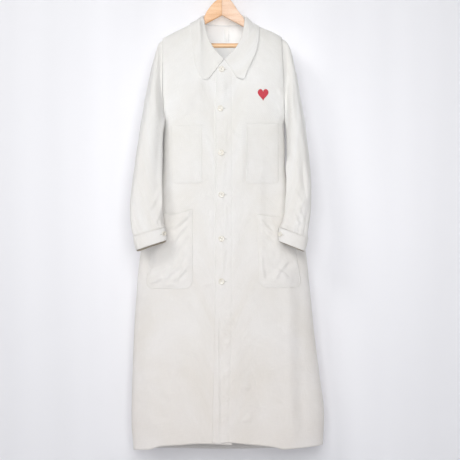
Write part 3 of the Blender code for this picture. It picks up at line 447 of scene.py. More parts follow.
# The cloth: a plain weave of undyed cotton, a little slubbed and gone faintly cream with age.
# The weave follows each piece's own cut, so that it turns with the piece.
def weave_group():
    """Height of a plain weave, threads crossing over and under, with slubs: long thin thicker
    stretches of thread. Patch puts out broad soft patches for the colour, and Crumple the
    small soft dents that stay in washed cotton."""
    group, start, end = shader_group(
        "cotton_weave",
        [("Vector", "NodeSocketVector", None), ("Threads", "NodeSocketFloat", 1400.0)],
        [(label, "NodeSocketFloat") for label in ("Height", "Patch", "Crumple")],
    )
    nodes, links = group.nodes, group.links
    split = add_node(nodes, "SeparateXYZ")
    crossing = add_node(nodes, "Math", operation="MULTIPLY")
    slub = add_node(nodes, "Math", operation="ADD")
    height = add_node(nodes, "Math", {1: 0.35}, operation="MULTIPLY_ADD")
    patch = add_node(nodes, "TexNoise", {"Scale": 6.0, "Detail": 4.0})
    crumple = add_node(nodes, "TexNoise", {"Scale": 34.0, "Detail": 4.0, "Distortion": 0.8})
    for number, axis in enumerate("XY"):
        scaled = add_node(nodes, "Math", operation="MULTIPLY")
        wave = add_node(nodes, "Math", operation="SINE")
        link_up(
            links,
            (split, axis, scaled, 0), (start, "Threads", scaled, 1), (scaled, "Value", wave, 0),
            (wave, "Value", crossing, number),
        )
    for number, scale in enumerate(((900.0, 40.0, 1.0), (40.0, 900.0, 1.0))):
        stretch = add_node(nodes, "Mapping", {"Scale": scale})
        noise = add_node(nodes, "TexNoise", {"Scale": 1.0, "Detail": 2.0})
        link_up(
            links,
            (start, "Vector", stretch, "Vector"), (stretch, "Vector", noise, "Vector"),
            (noise, "Fac", slub, number),
        )
    link_up(
        links,
        (start, "Vector", split, "Vector"), (crossing, "Value", height, 0),
        (slub, "Value", height, 2), (start, "Vector", patch, "Vector"),
        (start, "Vector", crumple, "Vector"), (crumple, "Fac", end, "Crumple"),
        (height, "Value", end, "Height"), (patch, "Fac", end, "Patch"),
    )
    return group


COTTON_WEAVE = weave_group()
COTTON_PALE = (0.835, 0.83, 0.815)
COTTON_AGED = (0.80, 0.785, 0.75)
# The inside cotton is darker than the outside; the painted glow added to it makes up the difference near
# the neck.
COTTON_LINING = (0.74, 0.74, 0.73)
THREAD_DEPTH = 0.0001
CRUMPLE_DEPTH = 0.0016


def cotton(name, pale=COTTON_PALE, aged=COTTON_AGED):
    """Undyed cotton: the pale colour with aged patches, darker between the threads as painted
    shade, warmer and a little darker towards the hem as painted shade for the light that falls
    off lower down, matt, with a little sheen from its nap."""
    made, shader, nodes, links = new_material(
        name, 0.92, 0.25, {"Sheen Weight": 0.12, "Sheen Roughness": 0.5},
    )
    cut = add_node(nodes, "UVMap", uv_map="cut")
    weave = add_node(nodes, "Group", node_tree=COTTON_WEAVE)
    tone = ramp(nodes, aged, pale, 0.35, 0.62)
    # Painted shade between the threads: darker where the weave is low.
    thread = add_node(nodes, "MapRange", {
        "From Min": 0.6, "From Max": 1.4, "To Min": 0.955, "To Max": 1.02,
    })
    shade = add_node(nodes, "Mix", {0: 1.0}, data_type="RGBA", blend_type="MULTIPLY")
    bump = add_node(nodes, "Bump", {"Strength": 0.35, "Distance": THREAD_DEPTH})
    crumple = add_node(nodes, "Bump", {"Strength": 0.8, "Distance": CRUMPLE_DEPTH})
    place = add_node(nodes, "TexCoord")
    level = add_node(nodes, "SeparateXYZ")
    # Painted shade: darker and warmer towards the hem, for the light that falls off lower down.
    hem_painted_shade = add_node(nodes, "MapRange", {"From Min": -0.45, "From Max": -1.35})
    low = add_node(nodes, "Mix", data_type="RGBA", blend_type="MULTIPLY")
    low.inputs[7].default_value = (0.965, 0.93, 0.915, 1.0)
    link_up(
        links,
        (place, "Object", level, "Vector"), (level, "Z", hem_painted_shade, "Value"), (hem_painted_shade, "Result", low, 0),
        (cut, "UV", weave, "Vector"), (weave, "Patch", tone, "Fac"), (weave, "Height", thread, "Value"),
        (tone, "Color", shade, 6), (thread, "Result", shade, 7), (shade, 2, low, 6),
        (low, 2, shader, "Base Color"), (weave, "Height", bump, "Height"),
        (weave, "Crumple", crumple, "Height"), (crumple, "Normal", bump, "Normal"),
        (bump, "Normal", shader, "Normal"),
    )
    return made


COTTON = cotton("undyed_cotton")
COTTON_INSIDE = cotton("undyed_cotton_inside_painted_glow", COTTON_LINING, COTTON_LINING)


def painted_glow(finish, strength, axis, start, full, rear=1.0):
    """A painted glow: emission that stands in for the little light that comes through the thin
    cloth from behind and lightens the shaded lining, fading in between two places in metres on
    an axis, where only one layer hangs. It is strength times that share, times one on faces
    that look forward or aside and the rear share on those that look back."""
    nodes, links = finish.node_tree.nodes, finish.node_tree.links
    shader = nodes["Principled BSDF"]
    # The painted glow's colour, a cool white.
    shader.inputs["Emission Color"].default_value = (0.92, 0.96, 1.0, 1.0)
    place = add_node(nodes, "TexCoord")
    level = add_node(nodes, "SeparateXYZ")
    way = add_node(nodes, "SeparateXYZ")
    lit = add_node(nodes, "MapRange", {"From Min": 0.5, "From Max": 0.1, "To Min": rear})
    glow = add_node(nodes, "MapRange", {"From Min": start, "From Max": full})
    total = add_node(nodes, "Math", {1: strength}, operation="MULTIPLY")
    link_up(
        links,
        (place, "Object", level, "Vector"), (level, axis, glow, "Value"),
        (place, "Normal", way, "Vector"), (way, "Y", lit, "Value"), (lit, "Result", glow, "To Max"),
        (glow, "Result", total, 0), (total, "Value", shader, "Emission Strength"),
    )


# Painted glow on the inside cotton: full above z -0.30 m and gone below -0.52 m, it lightens the shaded
# lining round the neck.
painted_glow(COTTON_INSIDE, 0.20, "Z", -0.52, -0.30)


# The body: a back in one panel and two fronts, sewn at the shoulders and sides. The wearer's
# left front laps over the right one. They hang from the shoulders, in soft folds that the
# coat was pressed or packed into, and end in a narrow sewn hem.
CLOTH = 1.1
MIDDLE_Y = -10.0
OVERLAP_STEP = 1.5
UNDERARM_Z = -445.0
HEM_Z = -1423.0
ARMHOLE_HALF_WIDTH = 50.0
ARMHOLE_HEIGHT = 250.0
NECK_SHARE = 0.70
FULLNESS_END = 0.75
SHOULDER_SPANS = 6.0
SHOULDER_COLUMNS = 42
NECK_COLUMNS = 58
SEAM_COLUMNS = SHOULDER_COLUMNS + 1
NECK_SPANS = 8.0
SEAM = 0.12
ARMHOLE_LEVELS = (0.0, 0.008, 0.03, 0.075, 0.14, 0.22, 0.32, 0.44, 0.57, 0.70, 0.82, 0.93, 1.0)

# Outline and depth of the body below the armholes. sides is how pointed the sides are.
BODY = table("z left right front back sides", [
    (-445, -174.0, 185.5, 58, 58, 0.85),
    (-508, -175.0, 186.4, 60, 58, 0.85),
    (-574, -177.0, 187.9, 60, 58, 0.90),
    (-648, -190.0, 199.0, 58, 57, 1.05),
    (-723, -214.0, 221.0, 56, 57, 1.20),
    (-798, -236.0, 242.3, 56, 58, 1.20),
    (-852, -245.2, 251.9, 57, 58, 1.15),
    (-947, -254.1, 262.0, 58, 60, 1.05),
    (-1097, -263.1, 276.7, 60, 60, 1.00),
    (-1217, -267.9, 291.7, 61, 60, 0.95),
    (-1336, -270.0, 305.1, 62, 60, 0.95),
    (-1423, -264.0, 301.0, 62, 60, 0.95),
])

# Height of the hem along each panel, and the front edge of each front.
HEM_UNDER = table("x z", [
    (-264, -1423), (-213, -1417), (-183, -1407), (-123, -1401), (-64, -1396), (30, -1399),
])
HEM_UPPER = table("x z", [
    (-30, -1391), (-14, -1397), (21, -1392), (71, -1397), (157, -1407), (180, -1414), (231, -1412),
    (301, -1408),
])
HEM_BACK = table("x z", [(-264, -1423), (-150, -1429), (0, -1434), (150, -1430), (301, -1408)])
EDGE_UNDER = table("z x", [(-1423, 30), (-973, 27), (-445, 27)])
EDGE_UPPER = table("z x", [(-1423, -29), (-973, -20), (-445, -20)])

# Neck seams, from the shoulder seam to the front edge or to the middle of the back.
NECK_UNDER = table("x y z", [
    (-67.3, -8.1, -139.6), (-66.9, -16.5, -142.2), (-65.6, -20.0, -149.5), (-62.8, -24.5, -164.5),
    (-57.7, -32.0, -188.7), (-50.1, -40.0, -212.4), (-39.6, -46.0, -232.6), (-24.7, -50.0, -246.6),
    (-9.3, -52.0, -260.4), (3.4, -53.5, -271.0), (22.0, -53.5, -275.0),
])
NECK_UPPER = table("x y z", [
    (81.0, -9.7, -146.4), (80.7, -18.2, -149.0), (79.4, -21.6, -156.0), (76.6, -26.0, -168.5),
    (72.5, -32.0, -189.0), (65.0, -40.0, -213.5), (55.0, -46.0, -233.0), (40.5, -50.0, -247.5),
    (25.0, -54.0, -261.0), (10.0, -57.5, -270.5), (-14.0, -60.0, -275.0),
])
NECK_BACK_RIGHT = table("x y z", [
    (-67.3, -8.1, -139.6), (-66.5, 2.0, -140.3), (-63.0, 14.0, -141.5), (-52.0, 27.0, -144.5),
    (-33.0, 36.0, -147.5), (-8.0, 40.0, -149.0), (7.0, 40.5, -149.3),
])
NECK_BACK_LEFT = table("x y z", [
    (81.0, -9.7, -146.4), (80.0, 1.0, -146.8), (76.0, 14.0, -147.0), (66.0, 27.0, -147.6),
    (47.0, 36.0, -148.5), (22.0, 40.0, -149.1), (7.0, 40.5, -149.3),
])

# The largest folds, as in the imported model: a ridge (height above 0) or a trough.
FOLD_COLUMNS = "x_top z_top x_foot z_foot width height"
FRONT_FOLDS = table(FOLD_COLUMNS, [
    (196, -835, 204, -1440, 16, 2.4),
    (228, -850, 240, -1440, 18, -2.2),
    (13, -290, 4, -405, 12, 1.6),
    (62, -430, 60, -650, 13, 3.0),
    (-95, -300, -120, -450, 24, 2.0),
    (110, -290, 140, -440, 24, 2.0),
    (-205, -860, -215, -1440, 26, 3.0),
    (-120, -990, -150, -1440, 28, -2.5),
    (95, -980, 120, -1440, 30, -2.5),
])
BACK_FOLDS = table(FOLD_COLUMNS, [
    (-85, -330, -130, -1450, 34, 6.0),
    (95, -330, 150, -1450, 36, 6.0),
    (5, -420, 15, -1450, 40, -5.0),
    (-200, -560, -225, -1450, 26, -4.0),
    (205, -560, 250, -1450, 26, -4.0),
])


def ease(x):
    """A step from 0 to 1 with level ends."""
    x = np.clip(x, 0.0, 1.0)
    return x * x * (3 - 2 * x)


def unit(vectors):
    """The same directions, each with length one."""
    return vectors / np.maximum(np.linalg.norm(vectors, axis=-1, keepdims=True), 1e-9)


def along(source, columns, at):
    """Reads columns of a table at shares of its row number, by the same cubic."""
    rows = len(next(iter(source.values())))
    numbered = dict(source, row=np.arange(rows, dtype=float))
    return np.stack([smooth(numbered, "row", name, at * (rows - 1)) for name in columns.split()], axis=-1)


def normals_of(grid, closed=False):
    """Normals of a grid of points, from the steps down and across it."""
    down = np.gradient(grid, axis=0)
    if closed:
        across = np.roll(grid, -1, axis=1) - np.roll(grid, 1, axis=1)
    else:
        across = np.gradient(grid, axis=1)
    return unit(np.cross(down, across))


def relaxed(grid, turns, closed=False):
    """Each inner point moved half way to the mean of its four neighbours, a few times."""
    grid = grid.copy()
    for _ in range(turns):
        if closed:
            sides = np.roll(grid, 1, axis=1) + np.roll(grid, -1, axis=1)
            mean = (grid[:-2] + grid[2:] + sides[1:-1]) / 4
            grid[1:-1] = (grid[1:-1] + mean) / 2
        else:
            mean = (grid[:-2, 1:-1] + grid[2:, 1:-1] + grid[1:-1, :-2] + grid[1:-1, 2:]) / 4
            grid[1:-1, 1:-1] = (grid[1:-1, 1:-1] + mean) / 2
    return grid


def press(grid, normals, folds, facing):
    """Moves points along their normals for each fold: a bell across the fold's line, fading at
    both ends, on the side of the cloth that faces -Y (facing -1) or +Y (1)."""
    amount = np.zeros(grid.shape[:2])
    for x_top, z_top, x_foot, z_foot, width, height in zip(*folds.values()):
        start = np.array([x_top, z_top])
        line = np.array([x_foot, z_foot]) - start
        length = np.linalg.norm(line)
        line = line / length
        away = grid[..., [0, 2]] - start
        run = away @ line
        aside = away[..., 0] * line[1] - away[..., 1] * line[0]
        end = 0.22 * length
        fade = ease(run / end) * ease((length - run) / end)
        amount += height * fade * np.exp(-((aside / width) ** 2))
    share = np.clip(normals[..., 1] * facing, 0, 1) ** 0.5
    return grid + normals * (amount * share)[..., None]


def crease(x, z, rows):
    """Height of creases at places x, z. Each runs from its first end to its second, bowed
    sideways by bend at its middle. It rises steeply on its near side and falls softly on its
    far side, by its two widths, and dies out towards its ends."""
    height = np.zeros(np.shape(x))
    for x_1, z_1, x_2, z_2, bend, near, far, tall in zip(*rows.values()):
        run_x, run_z = x_2 - x_1, z_2 - z_1
        length = math.hypot(run_x, run_z)
        run_x, run_z = run_x / length, run_z / length
        run = (x - x_1) * run_x + (z - z_1) * run_z
        share = run / length
        aside = (x - x_1) * run_z - (z - z_1) * run_x - bend * 4 * share * (1 - share)
        width = np.where(aside < 0, near, far)
        fade = ease(share / 0.3) * ease((1 - share) / 0.3)
        height += tall * fade * np.exp(-((aside / width) ** 2))
    return height


def unevenness(x, z, size, seed):
    """A smooth random surface of about one height: random values on a net of squares of the
    given size, blended between the net's corners."""
    values = np.random.default_rng(seed).normal(0.0, 1.0, (64, 64))
    u = (x + 700.0) / size
    v = (z + 1800.0) / size
    i = np.floor(u).astype(int)
    j = np.floor(v).astype(int)
    a, b = ease(u - i), ease(v - j)
    i0, i1, j0, j1 = i % 64, (i + 1) % 64, j % 64, (j + 1) % 64
    near = values[i0, j0] * (1 - b) + values[i0, j1] * b
    far = values[i1, j0] * (1 - b) + values[i1, j1] * b
    return near * (1 - a) + far * a


def armhole_oval(g):
    """Half width of the armhole, an egg shape, at a share g of the way down it."""
    a = np.arccos(1 - 2 * np.clip(g, 0, 1))
    return ARMHOLE_HALF_WIDTH * np.sin(a) * (1 - 0.18 * np.cos(a))


def fullness(g, share):
    """Depth that the armhole gives the panel: it dies out towards the front edge, and lower down."""
    widest = 0.55
    soft = armhole_oval(min(g, widest)) * (1 - ease((g - widest) / 0.85))
    inward = ease(share / 0.2)
    at_side = armhole_oval(g) * (1 - inward) + soft * inward
    return at_side * np.clip(1 - share / FULLNESS_END, 0, 1) ** 2


def half_panel(side, front, shoulder, neck, edge_x, hem, rows_above, rows_below):
    """The middle surface of a panel from its side to its edge, in rows from top to hem.

    Above the underarm each column runs from the shoulder or neck seam to the underarm level,
    its depth growing as the root of 1 - (1 - g)^2 with the share g of the way down. Below it
    each row is a stretch of an oval, its depth the sine of the angle to a power.
    """
    depth_name = "front" if front else "back"
    away = -1.0 if front else 1.0
    column = np.concatenate([
        np.linspace(0, SHOULDER_SPANS, SHOULDER_COLUMNS, endpoint=False),
        SHOULDER_SPANS + np.linspace(0, NECK_SPANS, NECK_COLUMNS),
    ])
    on_shoulder = np.clip(column / SHOULDER_SPANS, 0, 1)
    on_neck = np.clip((column - SHOULDER_SPANS) / NECK_SPANS, 0, 1)
    share = column / (SHOULDER_SPANS + NECK_SPANS)
    shoulder_x = shoulder["x"][0] + (shoulder["x"][-1] - shoulder["x"][0]) * on_shoulder
    shoulder_points = np.stack([
        shoulder_x, -BOW * np.abs(shoulder_x), smooth(shoulder, "x", "z", shoulder_x),
    ], axis=-1)
    neck_points = along(neck, "x y z", on_neck ** (1.0 if front else 0.9))
    top = np.where((column < SHOULDER_SPANS)[:, None], shoulder_points, neck_points)

    def section(z):
        """Half an oval at a level: x follows the cosine, depth a power of the sine."""
        left = smooth(BODY, "z", "left", z)
        right = smooth(BODY, "z", "right", z)
        middle = 0.5 * (left + right)
        half = 0.5 * (right - left)
        last = middle if edge_x is None else smooth(edge_x, "z", "x", z)
        end = math.acos(float(side * (last - middle) / half))
        angle = end * (NECK_SHARE * on_shoulder + (1 - NECK_SHARE) * on_neck)
        x = middle + side * half * np.cos(angle)
        sharpness = smooth(BODY, "z", "sides", z)
        depth = smooth(BODY, "z", depth_name, z) * np.clip(np.sin(angle), 0, 1) ** sharpness
        return x, depth

    under_x, under_depth = section(UNDERARM_Z)
    rows = []
    levels = np.interp(np.linspace(0, 12, rows_above, endpoint=False), np.arange(13), ARMHOLE_LEVELS)
    for g in levels:
        e = math.sqrt(1 - (1 - g) ** 2)
        x = (1 - g) * top[:, 0] + g * under_x
        y = (1 - e) * top[:, 1] + e * (MIDDLE_Y + away * under_depth) + away * fullness(g, share)
        z = (1 - g) * top[:, 2] + g * UNDERARM_Z
        rows.append(np.stack([x, y, z], axis=-1))
    for v in np.linspace(0, 1, rows_below) ** 1.05:
        level = UNDERARM_Z + v * (HEM_Z - UNDERARM_Z)
        x, depth = section(level)
        g = 1 + (UNDERARM_Z - level) / ARMHOLE_HEIGHT
        y = MIDDLE_Y + away * (depth + fullness(g, share))
        z = UNDERARM_Z + v * (smooth(hem, "x", "z", x) - UNDERARM_Z)
        rows.append(np.stack([x, y, z], axis=-1))
    return relaxed(np.array(rows), 12)


def trimmed(grid):
    """The seam's half gap: the top row and the side column drawn in along the cloth."""
    grid = grid.copy()
    grid[0] += SEAM * unit(grid[1] - grid[0])
    grid[:, 0] += SEAM * unit(grid[:, 1] - grid[:, 0])
    return grid


def outward(normals, grid):
    """Normals turned so that they point away from the plane between front and back."""
    flip = np.sum(normals[..., 1] * (grid[..., 1] - MIDDLE_Y)) < 0
    return -normals if flip else normals


def panel_normals(grid, side):
    """Normals of a panel. Along the seams that two panels share they lie in the seam's plane,
    and blend into the panel's own over the next few points."""
    normals = outward(normals_of(grid), grid)
    top = normals[0, :SEAM_COLUMNS].copy()
    top[:, 1] = 0.0
    for r, keep in enumerate((1.0, 0.6, 0.3)):
        blended = unit(top) * keep + normals[r, :SEAM_COLUMNS] * (1 - keep)
        normals[r, :SEAM_COLUMNS] = unit(blended)
    start = np.searchsorted(-grid[:, 0, 2], -UNDERARM_Z)
    for c, keep in enumerate((1.0, 0.6, 0.3)):
        normals[start:, c] = unit(np.array([side, 0.0, 0.0]) * keep + normals[start:, c] * (1 - keep))
    return normals


def cut_of(grid):
    """Each point's place on the flat cloth: the length run across its row and down its column."""
    across = np.zeros(grid.shape[:2])
    down = np.zeros(grid.shape[:2])
    across[:, 1:] = np.cumsum(np.linalg.norm(np.diff(grid, axis=1), axis=-1), axis=1)
    down[1:] = np.cumsum(np.linalg.norm(np.diff(grid, axis=0), axis=-1), axis=0)
    return np.stack([across, down], axis=-1)


def cloth_shell(name, grid, normals, thickness, finish, nodes, closed=False):
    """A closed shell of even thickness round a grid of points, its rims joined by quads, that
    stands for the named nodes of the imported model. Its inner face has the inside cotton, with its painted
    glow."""
    rows, columns = grid.shape[:2]
    cut = cut_of(grid)
    if closed:
        grid = np.concatenate([grid, grid[:, :1]], axis=1)
        normals = np.concatenate([normals, normals[:, :1]], axis=1)
        cut = cut_of(grid)
        columns += 1
    half = normals * thickness / 2
    points = np.concatenate([(grid + half).reshape(-1, 3), (grid - half).reshape(-1, 3)])
    count = rows * columns
    outer = grid_faces(rows, columns)
    c = np.arange(columns - 1)
    r = np.arange(rows - 1) * columns
    low = (rows - 1) * columns
    rims = [
        np.stack([c, c + 1, c + 1 + count, c + count], axis=-1),
        np.stack([low + c + 1, low + c, low + c + count, low + c + 1 + count], axis=-1),
    ]
    if not closed:
        last = columns - 1
        rims.append(np.stack([r + columns, r, r + count, r + columns + count], axis=-1))
        end = r + last
        rims.append(np.stack([end, end + columns, end + columns + count, end + count], axis=-1))
    faces = np.concatenate([outer, outer[:, ::-1] + count] + rims)
    faces = turned_out(points, faces)
    flat = np.tile(cut.reshape(-1, 2), (2, 1))
    piece = make_piece(name, points, faces.tolist(), finish, flat)
    piece.data.materials.append(COTTON_INSIDE)
    sides = np.zeros(len(faces), np.int32)
    sides[len(outer):2 * len(outer)] = 1
    piece.data.polygons.foreach_set("material_index", sides)
    if closed:
        weld(piece)
    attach(piece, "root")
    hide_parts(*nodes)
    return piece, BVHTree.FromPolygons([Vector(p) for p in points[:count]], outer.tolist())


def weld(piece):
    """Joins the points of a tube's first and last column, which are in the same place."""
    work = bmesh.new()
    work.from_mesh(piece.data)
    bmesh.ops.remove_doubles(work, verts=work.verts, dist=1e-7)
    work.to_mesh(piece.data)
    work.free()


# Creases of the fronts: two ends, sideways bow, the two widths and the height.
CREASE_COLUMNS = "x_1 z_1 x_2 z_2 bend near far tall"
FRONT_CREASES = table(CREASE_COLUMNS, [
    (90, -1232, 48, -1236, 3, 5, 12, 1.6),
    (92, -1322, 46, -1326, -4, 5, 14, 1.8),
    (-6, -1196, 26, -1182, 2, 5, 9, 1.4),
    (-60, -780, -20, -700, 4, 6, 12, 0.9),
    (60, -760, 96, -700, -4, 7, 12, 0.9),
    (-30, -1080, -120, -960, 10, 10, 22, 1.2),
    (-150, -1300, -205, -1180, 8, 8, 20, 1.2),
    (-60, -1330, -140, -1180, -10, 12, 26, 1.0),
    (140, -1330, 70, -1120, 12, 12, 26, 1.2),
    (220, -1290, 150, -1250, 6, 8, 16, 1.0),
    (175, -372, 162, -352, 2, 4, 8, 1.2),
    (178, -420, 158, -390, 3, 5, 9, 1.4),
    (180, -450, 150, -425, 3, 5, 10, 1.2),
    (-172, -430, -140, -380, -4, 7, 14, 1.2),
    (-60, -330, -100, -430, 8, 12, 22, 1.0),
    (118, -560, 128, -840, 10, 12, 20, 1.4),
    (-120, -640, -130, -760, -8, 10, 18, 1.0),
    (2, -1004, 38, -1014, 2, 3, 7, 1.6),
    (4, -1032, 40, -1044, -2, 3, 7, 1.8),
    (-2, -1062, 34, -1072, 2, 3, 8, 1.5),
    (0, -1100, 30, -1092, 2, 3, 7, 1.2),
    (-4, -1150, 26, -1160, -2, 3, 7, 1.4),
    (-2, -1250, 24, -1262, 2, 3, 8, 1.3),
    (-4, -1330, 24, -1322, -2, 3, 8, 1.4),
    (-8, -985, -11, -1200, 1.0, 3, 9, 1.5),
    (-11, -1150, -9, -1412, -1.5, 3, 10, 1.7),
    (-22, -1010, -23, -1180, 0.6, 2.5, 6, 0.8),
    (120, -1180, 190, -1172, 3, 5, 10, 1.0),
    (60, -1280, 150, -1296, -3, 5, 10, 1.0),
    (150, -1080, 230, -1064, 3, 5, 10, 0.9),
    (-200, -1240, -120, -1252, 3, 5, 10, 1.0),
    (-120, -1120, -60, -1136, -3, 5, 10, 1.0),
    (-220, -1340, -150, -1326, 3, 5, 10, 1.0),
    (20, -470, 60, -500, 3, 5, 10, 0.9),
    (-60, -470, -30, -520, 3, 5, 10, 0.9),
    (-120, -700, -60, -670, 3, 5, 10, 0.9),
    (50, -1000, 100, -960, 4, 6, 12, 1.0),
    (-180, -960, -120, -985, 4, 6, 12, 1.0),
    (10, -318, 8, -402, 3, 5, 9, 1.3),
    (12, -432, 6, -530, -3, 5, 10, 1.2),
    (10, -560, 6, -650, 3, 5, 10, 1.2),
    (8, -690, 10, -782, -3, 5, 10, 1.2),
    (10, -815, 6, -905, 3, 5, 10, 1.2),
    (14, -411, 62, -424, 3, 4, 9, 1.2),
    (14, -541, 58, -552, -3, 4, 9, 1.1),
    (14, -664, 66, -655, 3, 4, 9, 1.2),
    (-22, -664, -60, -676, 2, 4, 9, 1.0),
    (14, -794, 60, -806, -3, 4, 9, 1.1),
    (-22, -794, -58, -784, 2, 4, 9, 1.0),
    (14, -919, 64, -936, 3, 4, 9, 1.3),
    (-22, -919, -66, -934, -3, 4, 9, 1.2),
    (-30, -1130, -96, -1112, 4, 6, 12, 0.9),
    (60, -1100, 130, -1120, -4, 6, 12, 0.9),
    (-190, -1060, -120, -1040, 4, 8, 16, 0.8),
    (180, -1020, 250, -1050, -4, 8, 16, 0.8),
])
BACK_CREASES = table(CREASE_COLUMNS, [
    (-150, -430, -60, -380, 6, 8, 18, 1.6),
    (165, -440, 70, -390, -6, 8, 18, 1.6),
    (-40, -700, 60, -680, 5, 7, 14, 1.4),
    (-90, -1000, 20, -960, -6, 8, 18, 1.4),
    (60, -1210, 170, -1180, 6, 8, 16, 1.4),
    (-180, -1280, -90, -1220, 6, 8, 16, 1.4),
    (-60, -250, -70, -480, 8, 14, 26, 1.2),
    (80, -250, 90, -500, -8, 14, 26, 1.2),
])
LIE_OF_CLOTH = ((150.0, 1.5), (62.0, 0.85), (27.0, 0.45), (13.0, 0.14))
CREASE_STRENGTH = 1.5


def worked(grid, normals, creases, facing, seed):
    """Adds the creases and a gentle unevenness of several sizes, less towards the seams."""
    x, z = grid[..., 0], grid[..., 2]
    height = CREASE_STRENGTH * crease(x, z, creases)
    for size, tall in LIE_OF_CLOTH:
        height = height + tall * unevenness(x + 0.35 * z, z, size, seed + int(size))
    share = np.clip(normals[..., 1] * facing, 0, 1) ** 0.7
    rows = np.minimum(np.arange(grid.shape[0]) / 6.0, 1.0)[:, None]
    return grid + normals * (height * share * rows)[..., None]


# Seams: pressed lines that keep a distance from an edge of the cut, each with its width and
# depth, and rows of small machine stitches in cotton thread beside them.
FRONT_SEAMS = (
    ("end", 50.0, 1.8, 0.85), ("end", 25.5, 1.6, 0.5), ("end", 5.0, 1.6, 0.5), ("foot", 28.0, 1.8, 0.5),
)
BACK_SEAMS = (("foot", 28.0, 1.8, 0.45), ("start", 5.0, 1.5, 0.3), ("end", 5.0, 1.5, 0.3))
SHOULDER_ROW = 4.0
STITCH_PITCH = 2.9
STITCH_LENGTH = 2.4
STITCH_WIDTH = 0.55


def grooves(grid, seams):
    """Depth of the pressed lines: a narrow bell across each."""
    cut = cut_of(grid)
    gaps = {
        "start": cut[..., 0],
        "end": cut[:, -1:, 0] - cut[..., 0],
        "top": cut[..., 1],
        "foot": cut[-1:, :, 1] - cut[..., 1],
    }
    depth = np.zeros(grid.shape[:2])
    for edge, distance, wide, deep in seams:
        depth += deep * np.exp(-(((gaps[edge] - distance) / wide) ** 2))
    return depth


def inset(grid, normals, edge, distance, lift):
    """A line that keeps a distance from the top, foot, start or end of a grid, lifted off the
    grid, with its normals."""
    places, ways = grid, normals
    if edge in ("start", "end"):
        places, ways = np.swapaxes(places, 0, 1), np.swapaxes(ways, 0, 1)
    if edge in ("foot", "end"):
        places, ways = places[::-1], ways[::-1]
    run = np.zeros(places.shape[:2])
    run[1:] = np.cumsum(np.linalg.norm(np.diff(places, axis=0), axis=-1), axis=0)
    column = np.arange(places.shape[1])
    i = np.clip((run < distance).sum(axis=0) - 1, 0, len(places) - 2)
    t = ((distance - run[i, column]) / (run[i + 1, column] - run[i, column]))[:, None]
    way = unit(ways[i, column] * (1 - t) + ways[i + 1, column] * t)
    return places[i, column] * (1 - t) + places[i + 1, column] * t + way * lift, way


def thread_finish(name, dark, pale):
    """Mercerised cotton thread, twisted: slanting bands along it, and a soft sheen."""
    made, shader, nodes, links = new_material(name, 0.7, 0.35, {"Sheen Weight": 0.2})
    place = add_node(nodes, "TexCoord")
    twist = add_node(nodes, "TexWave", {"Scale": 1100.0}, bands_direction="DIAGONAL")
    tone = ramp(nodes, dark, pale)
    link_up(
        links,
        (place, "Object", twist, "Vector"), (twist, "Fac", tone, "Fac"),
        (tone, "Color", shader, "Base Color"),
    )
    return made


THREAD = thread_finish("cotton_thread", (0.74, 0.73, 0.69), (0.87, 0.865, 0.84))


def stitches(
    name, lines, finish, pitch=STITCH_PITCH, length=STITCH_LENGTH, width=STITCH_WIDTH, across=False
):
    """Stitches along lines of (places, normals): each one a bead of four sides that tapers to a
    point at both ends, half sunk into the cloth, along the line or across it."""
    beads = []
    for places, normals in lines:
        run = np.concatenate([[0.0], np.cumsum(np.linalg.norm(np.diff(places, axis=0), axis=1))])
        count = max(int(run[-1] / pitch), 1)
        at = (np.arange(count) + 0.5) * run[-1] / count

        def read(values, shift=0.0):
            """Values at the stitches' middles along the line, or a shift further on."""
            return np.stack([np.interp(at + shift, run, values[:, i]) for i in range(3)], axis=-1)

        centre = read(places)
        up = unit(read(normals))
        side = unit(np.cross(up, read(places, 0.7) - read(places, -0.7)))
        ahead = np.cross(side, up)
        if across:
            ahead, side = side, -ahead
        half, wide = ahead * length / 2, side * width / 2
        tall = up * width / 2
        beads.append(np.stack([
            centre - half, centre + wide, centre + tall, centre - wide, centre - tall, centre + half,
        ], axis=1))
    beads = np.concatenate(beads)
    bead_faces = [(1, 2, 5), (2, 3, 5), (3, 4, 5), (4, 1, 5), (2, 1, 0), (3, 2, 0), (4, 3, 0), (1, 4, 0)]
    faces = (np.arange(len(beads))[:, None, None] * 6 + np.array(bead_faces)).reshape(-1, 3)
    sewn = make_piece(name, beads.reshape(-1, 3), faces.tolist(), finish)
    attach(sewn, "root")
    return sewn


def front_panel(name, node, side, shoulder, neck, edge_x, hem, step, seed):
    """One front: half a panel, trimmed at its seams, pressed, creased and given its wall, with
    its rows of stitches."""
    grid = trimmed(half_panel(side, True, shoulder, neck, edge_x, hem, 84, 176))
    normals = panel_normals(grid, side)
    grid = press(grid, normals, FRONT_FOLDS, -1)
    near = ease((70 - np.abs(grid[..., 0])) / 30)
    grid = worked(grid, normals, FRONT_CREASES, -1, seed)
    grid = grid + normals * (step * near - grooves(grid, FRONT_SEAMS))[..., None]
    piece, tree = cloth_shell(name, grid, normals, CLOTH, COTTON, [node])
    lines = [inset(grid, normals, edge, distance, CLOTH / 2) for edge, distance, _, _ in FRONT_SEAMS]
    underarm = int(np.searchsorted(-grid[:, 0, 2], -UNDERARM_Z))
    shoulder_line = inset(
        grid[:, :SEAM_COLUMNS], normals[:, :SEAM_COLUMNS], "top", SHOULDER_ROW, CLOTH / 2
    )
    armhole_line = inset(grid[:underarm], normals[:underarm], "start", 4.0, CLOTH / 2)
    sewn = stitches("stitches_" + node, lines + [shoulder_line, armhole_line], THREAD)
    return tree, grid, normals


under_tree, under_grid, under_normals = front_panel(
    "coat_front_right", "front_right", -1, SHOULDER_RIGHT, NECK_UNDER, EDGE_UNDER, HEM_UNDER,
    -OVERLAP_STEP / 2, 11,
)
upper_tree, upper_grid, upper_normals = front_panel(
    "coat_front_left", "front_left", 1, SHOULDER_LEFT, NECK_UPPER, EDGE_UPPER, HEM_UPPER,
    OVERLAP_STEP / 2, 11,
)


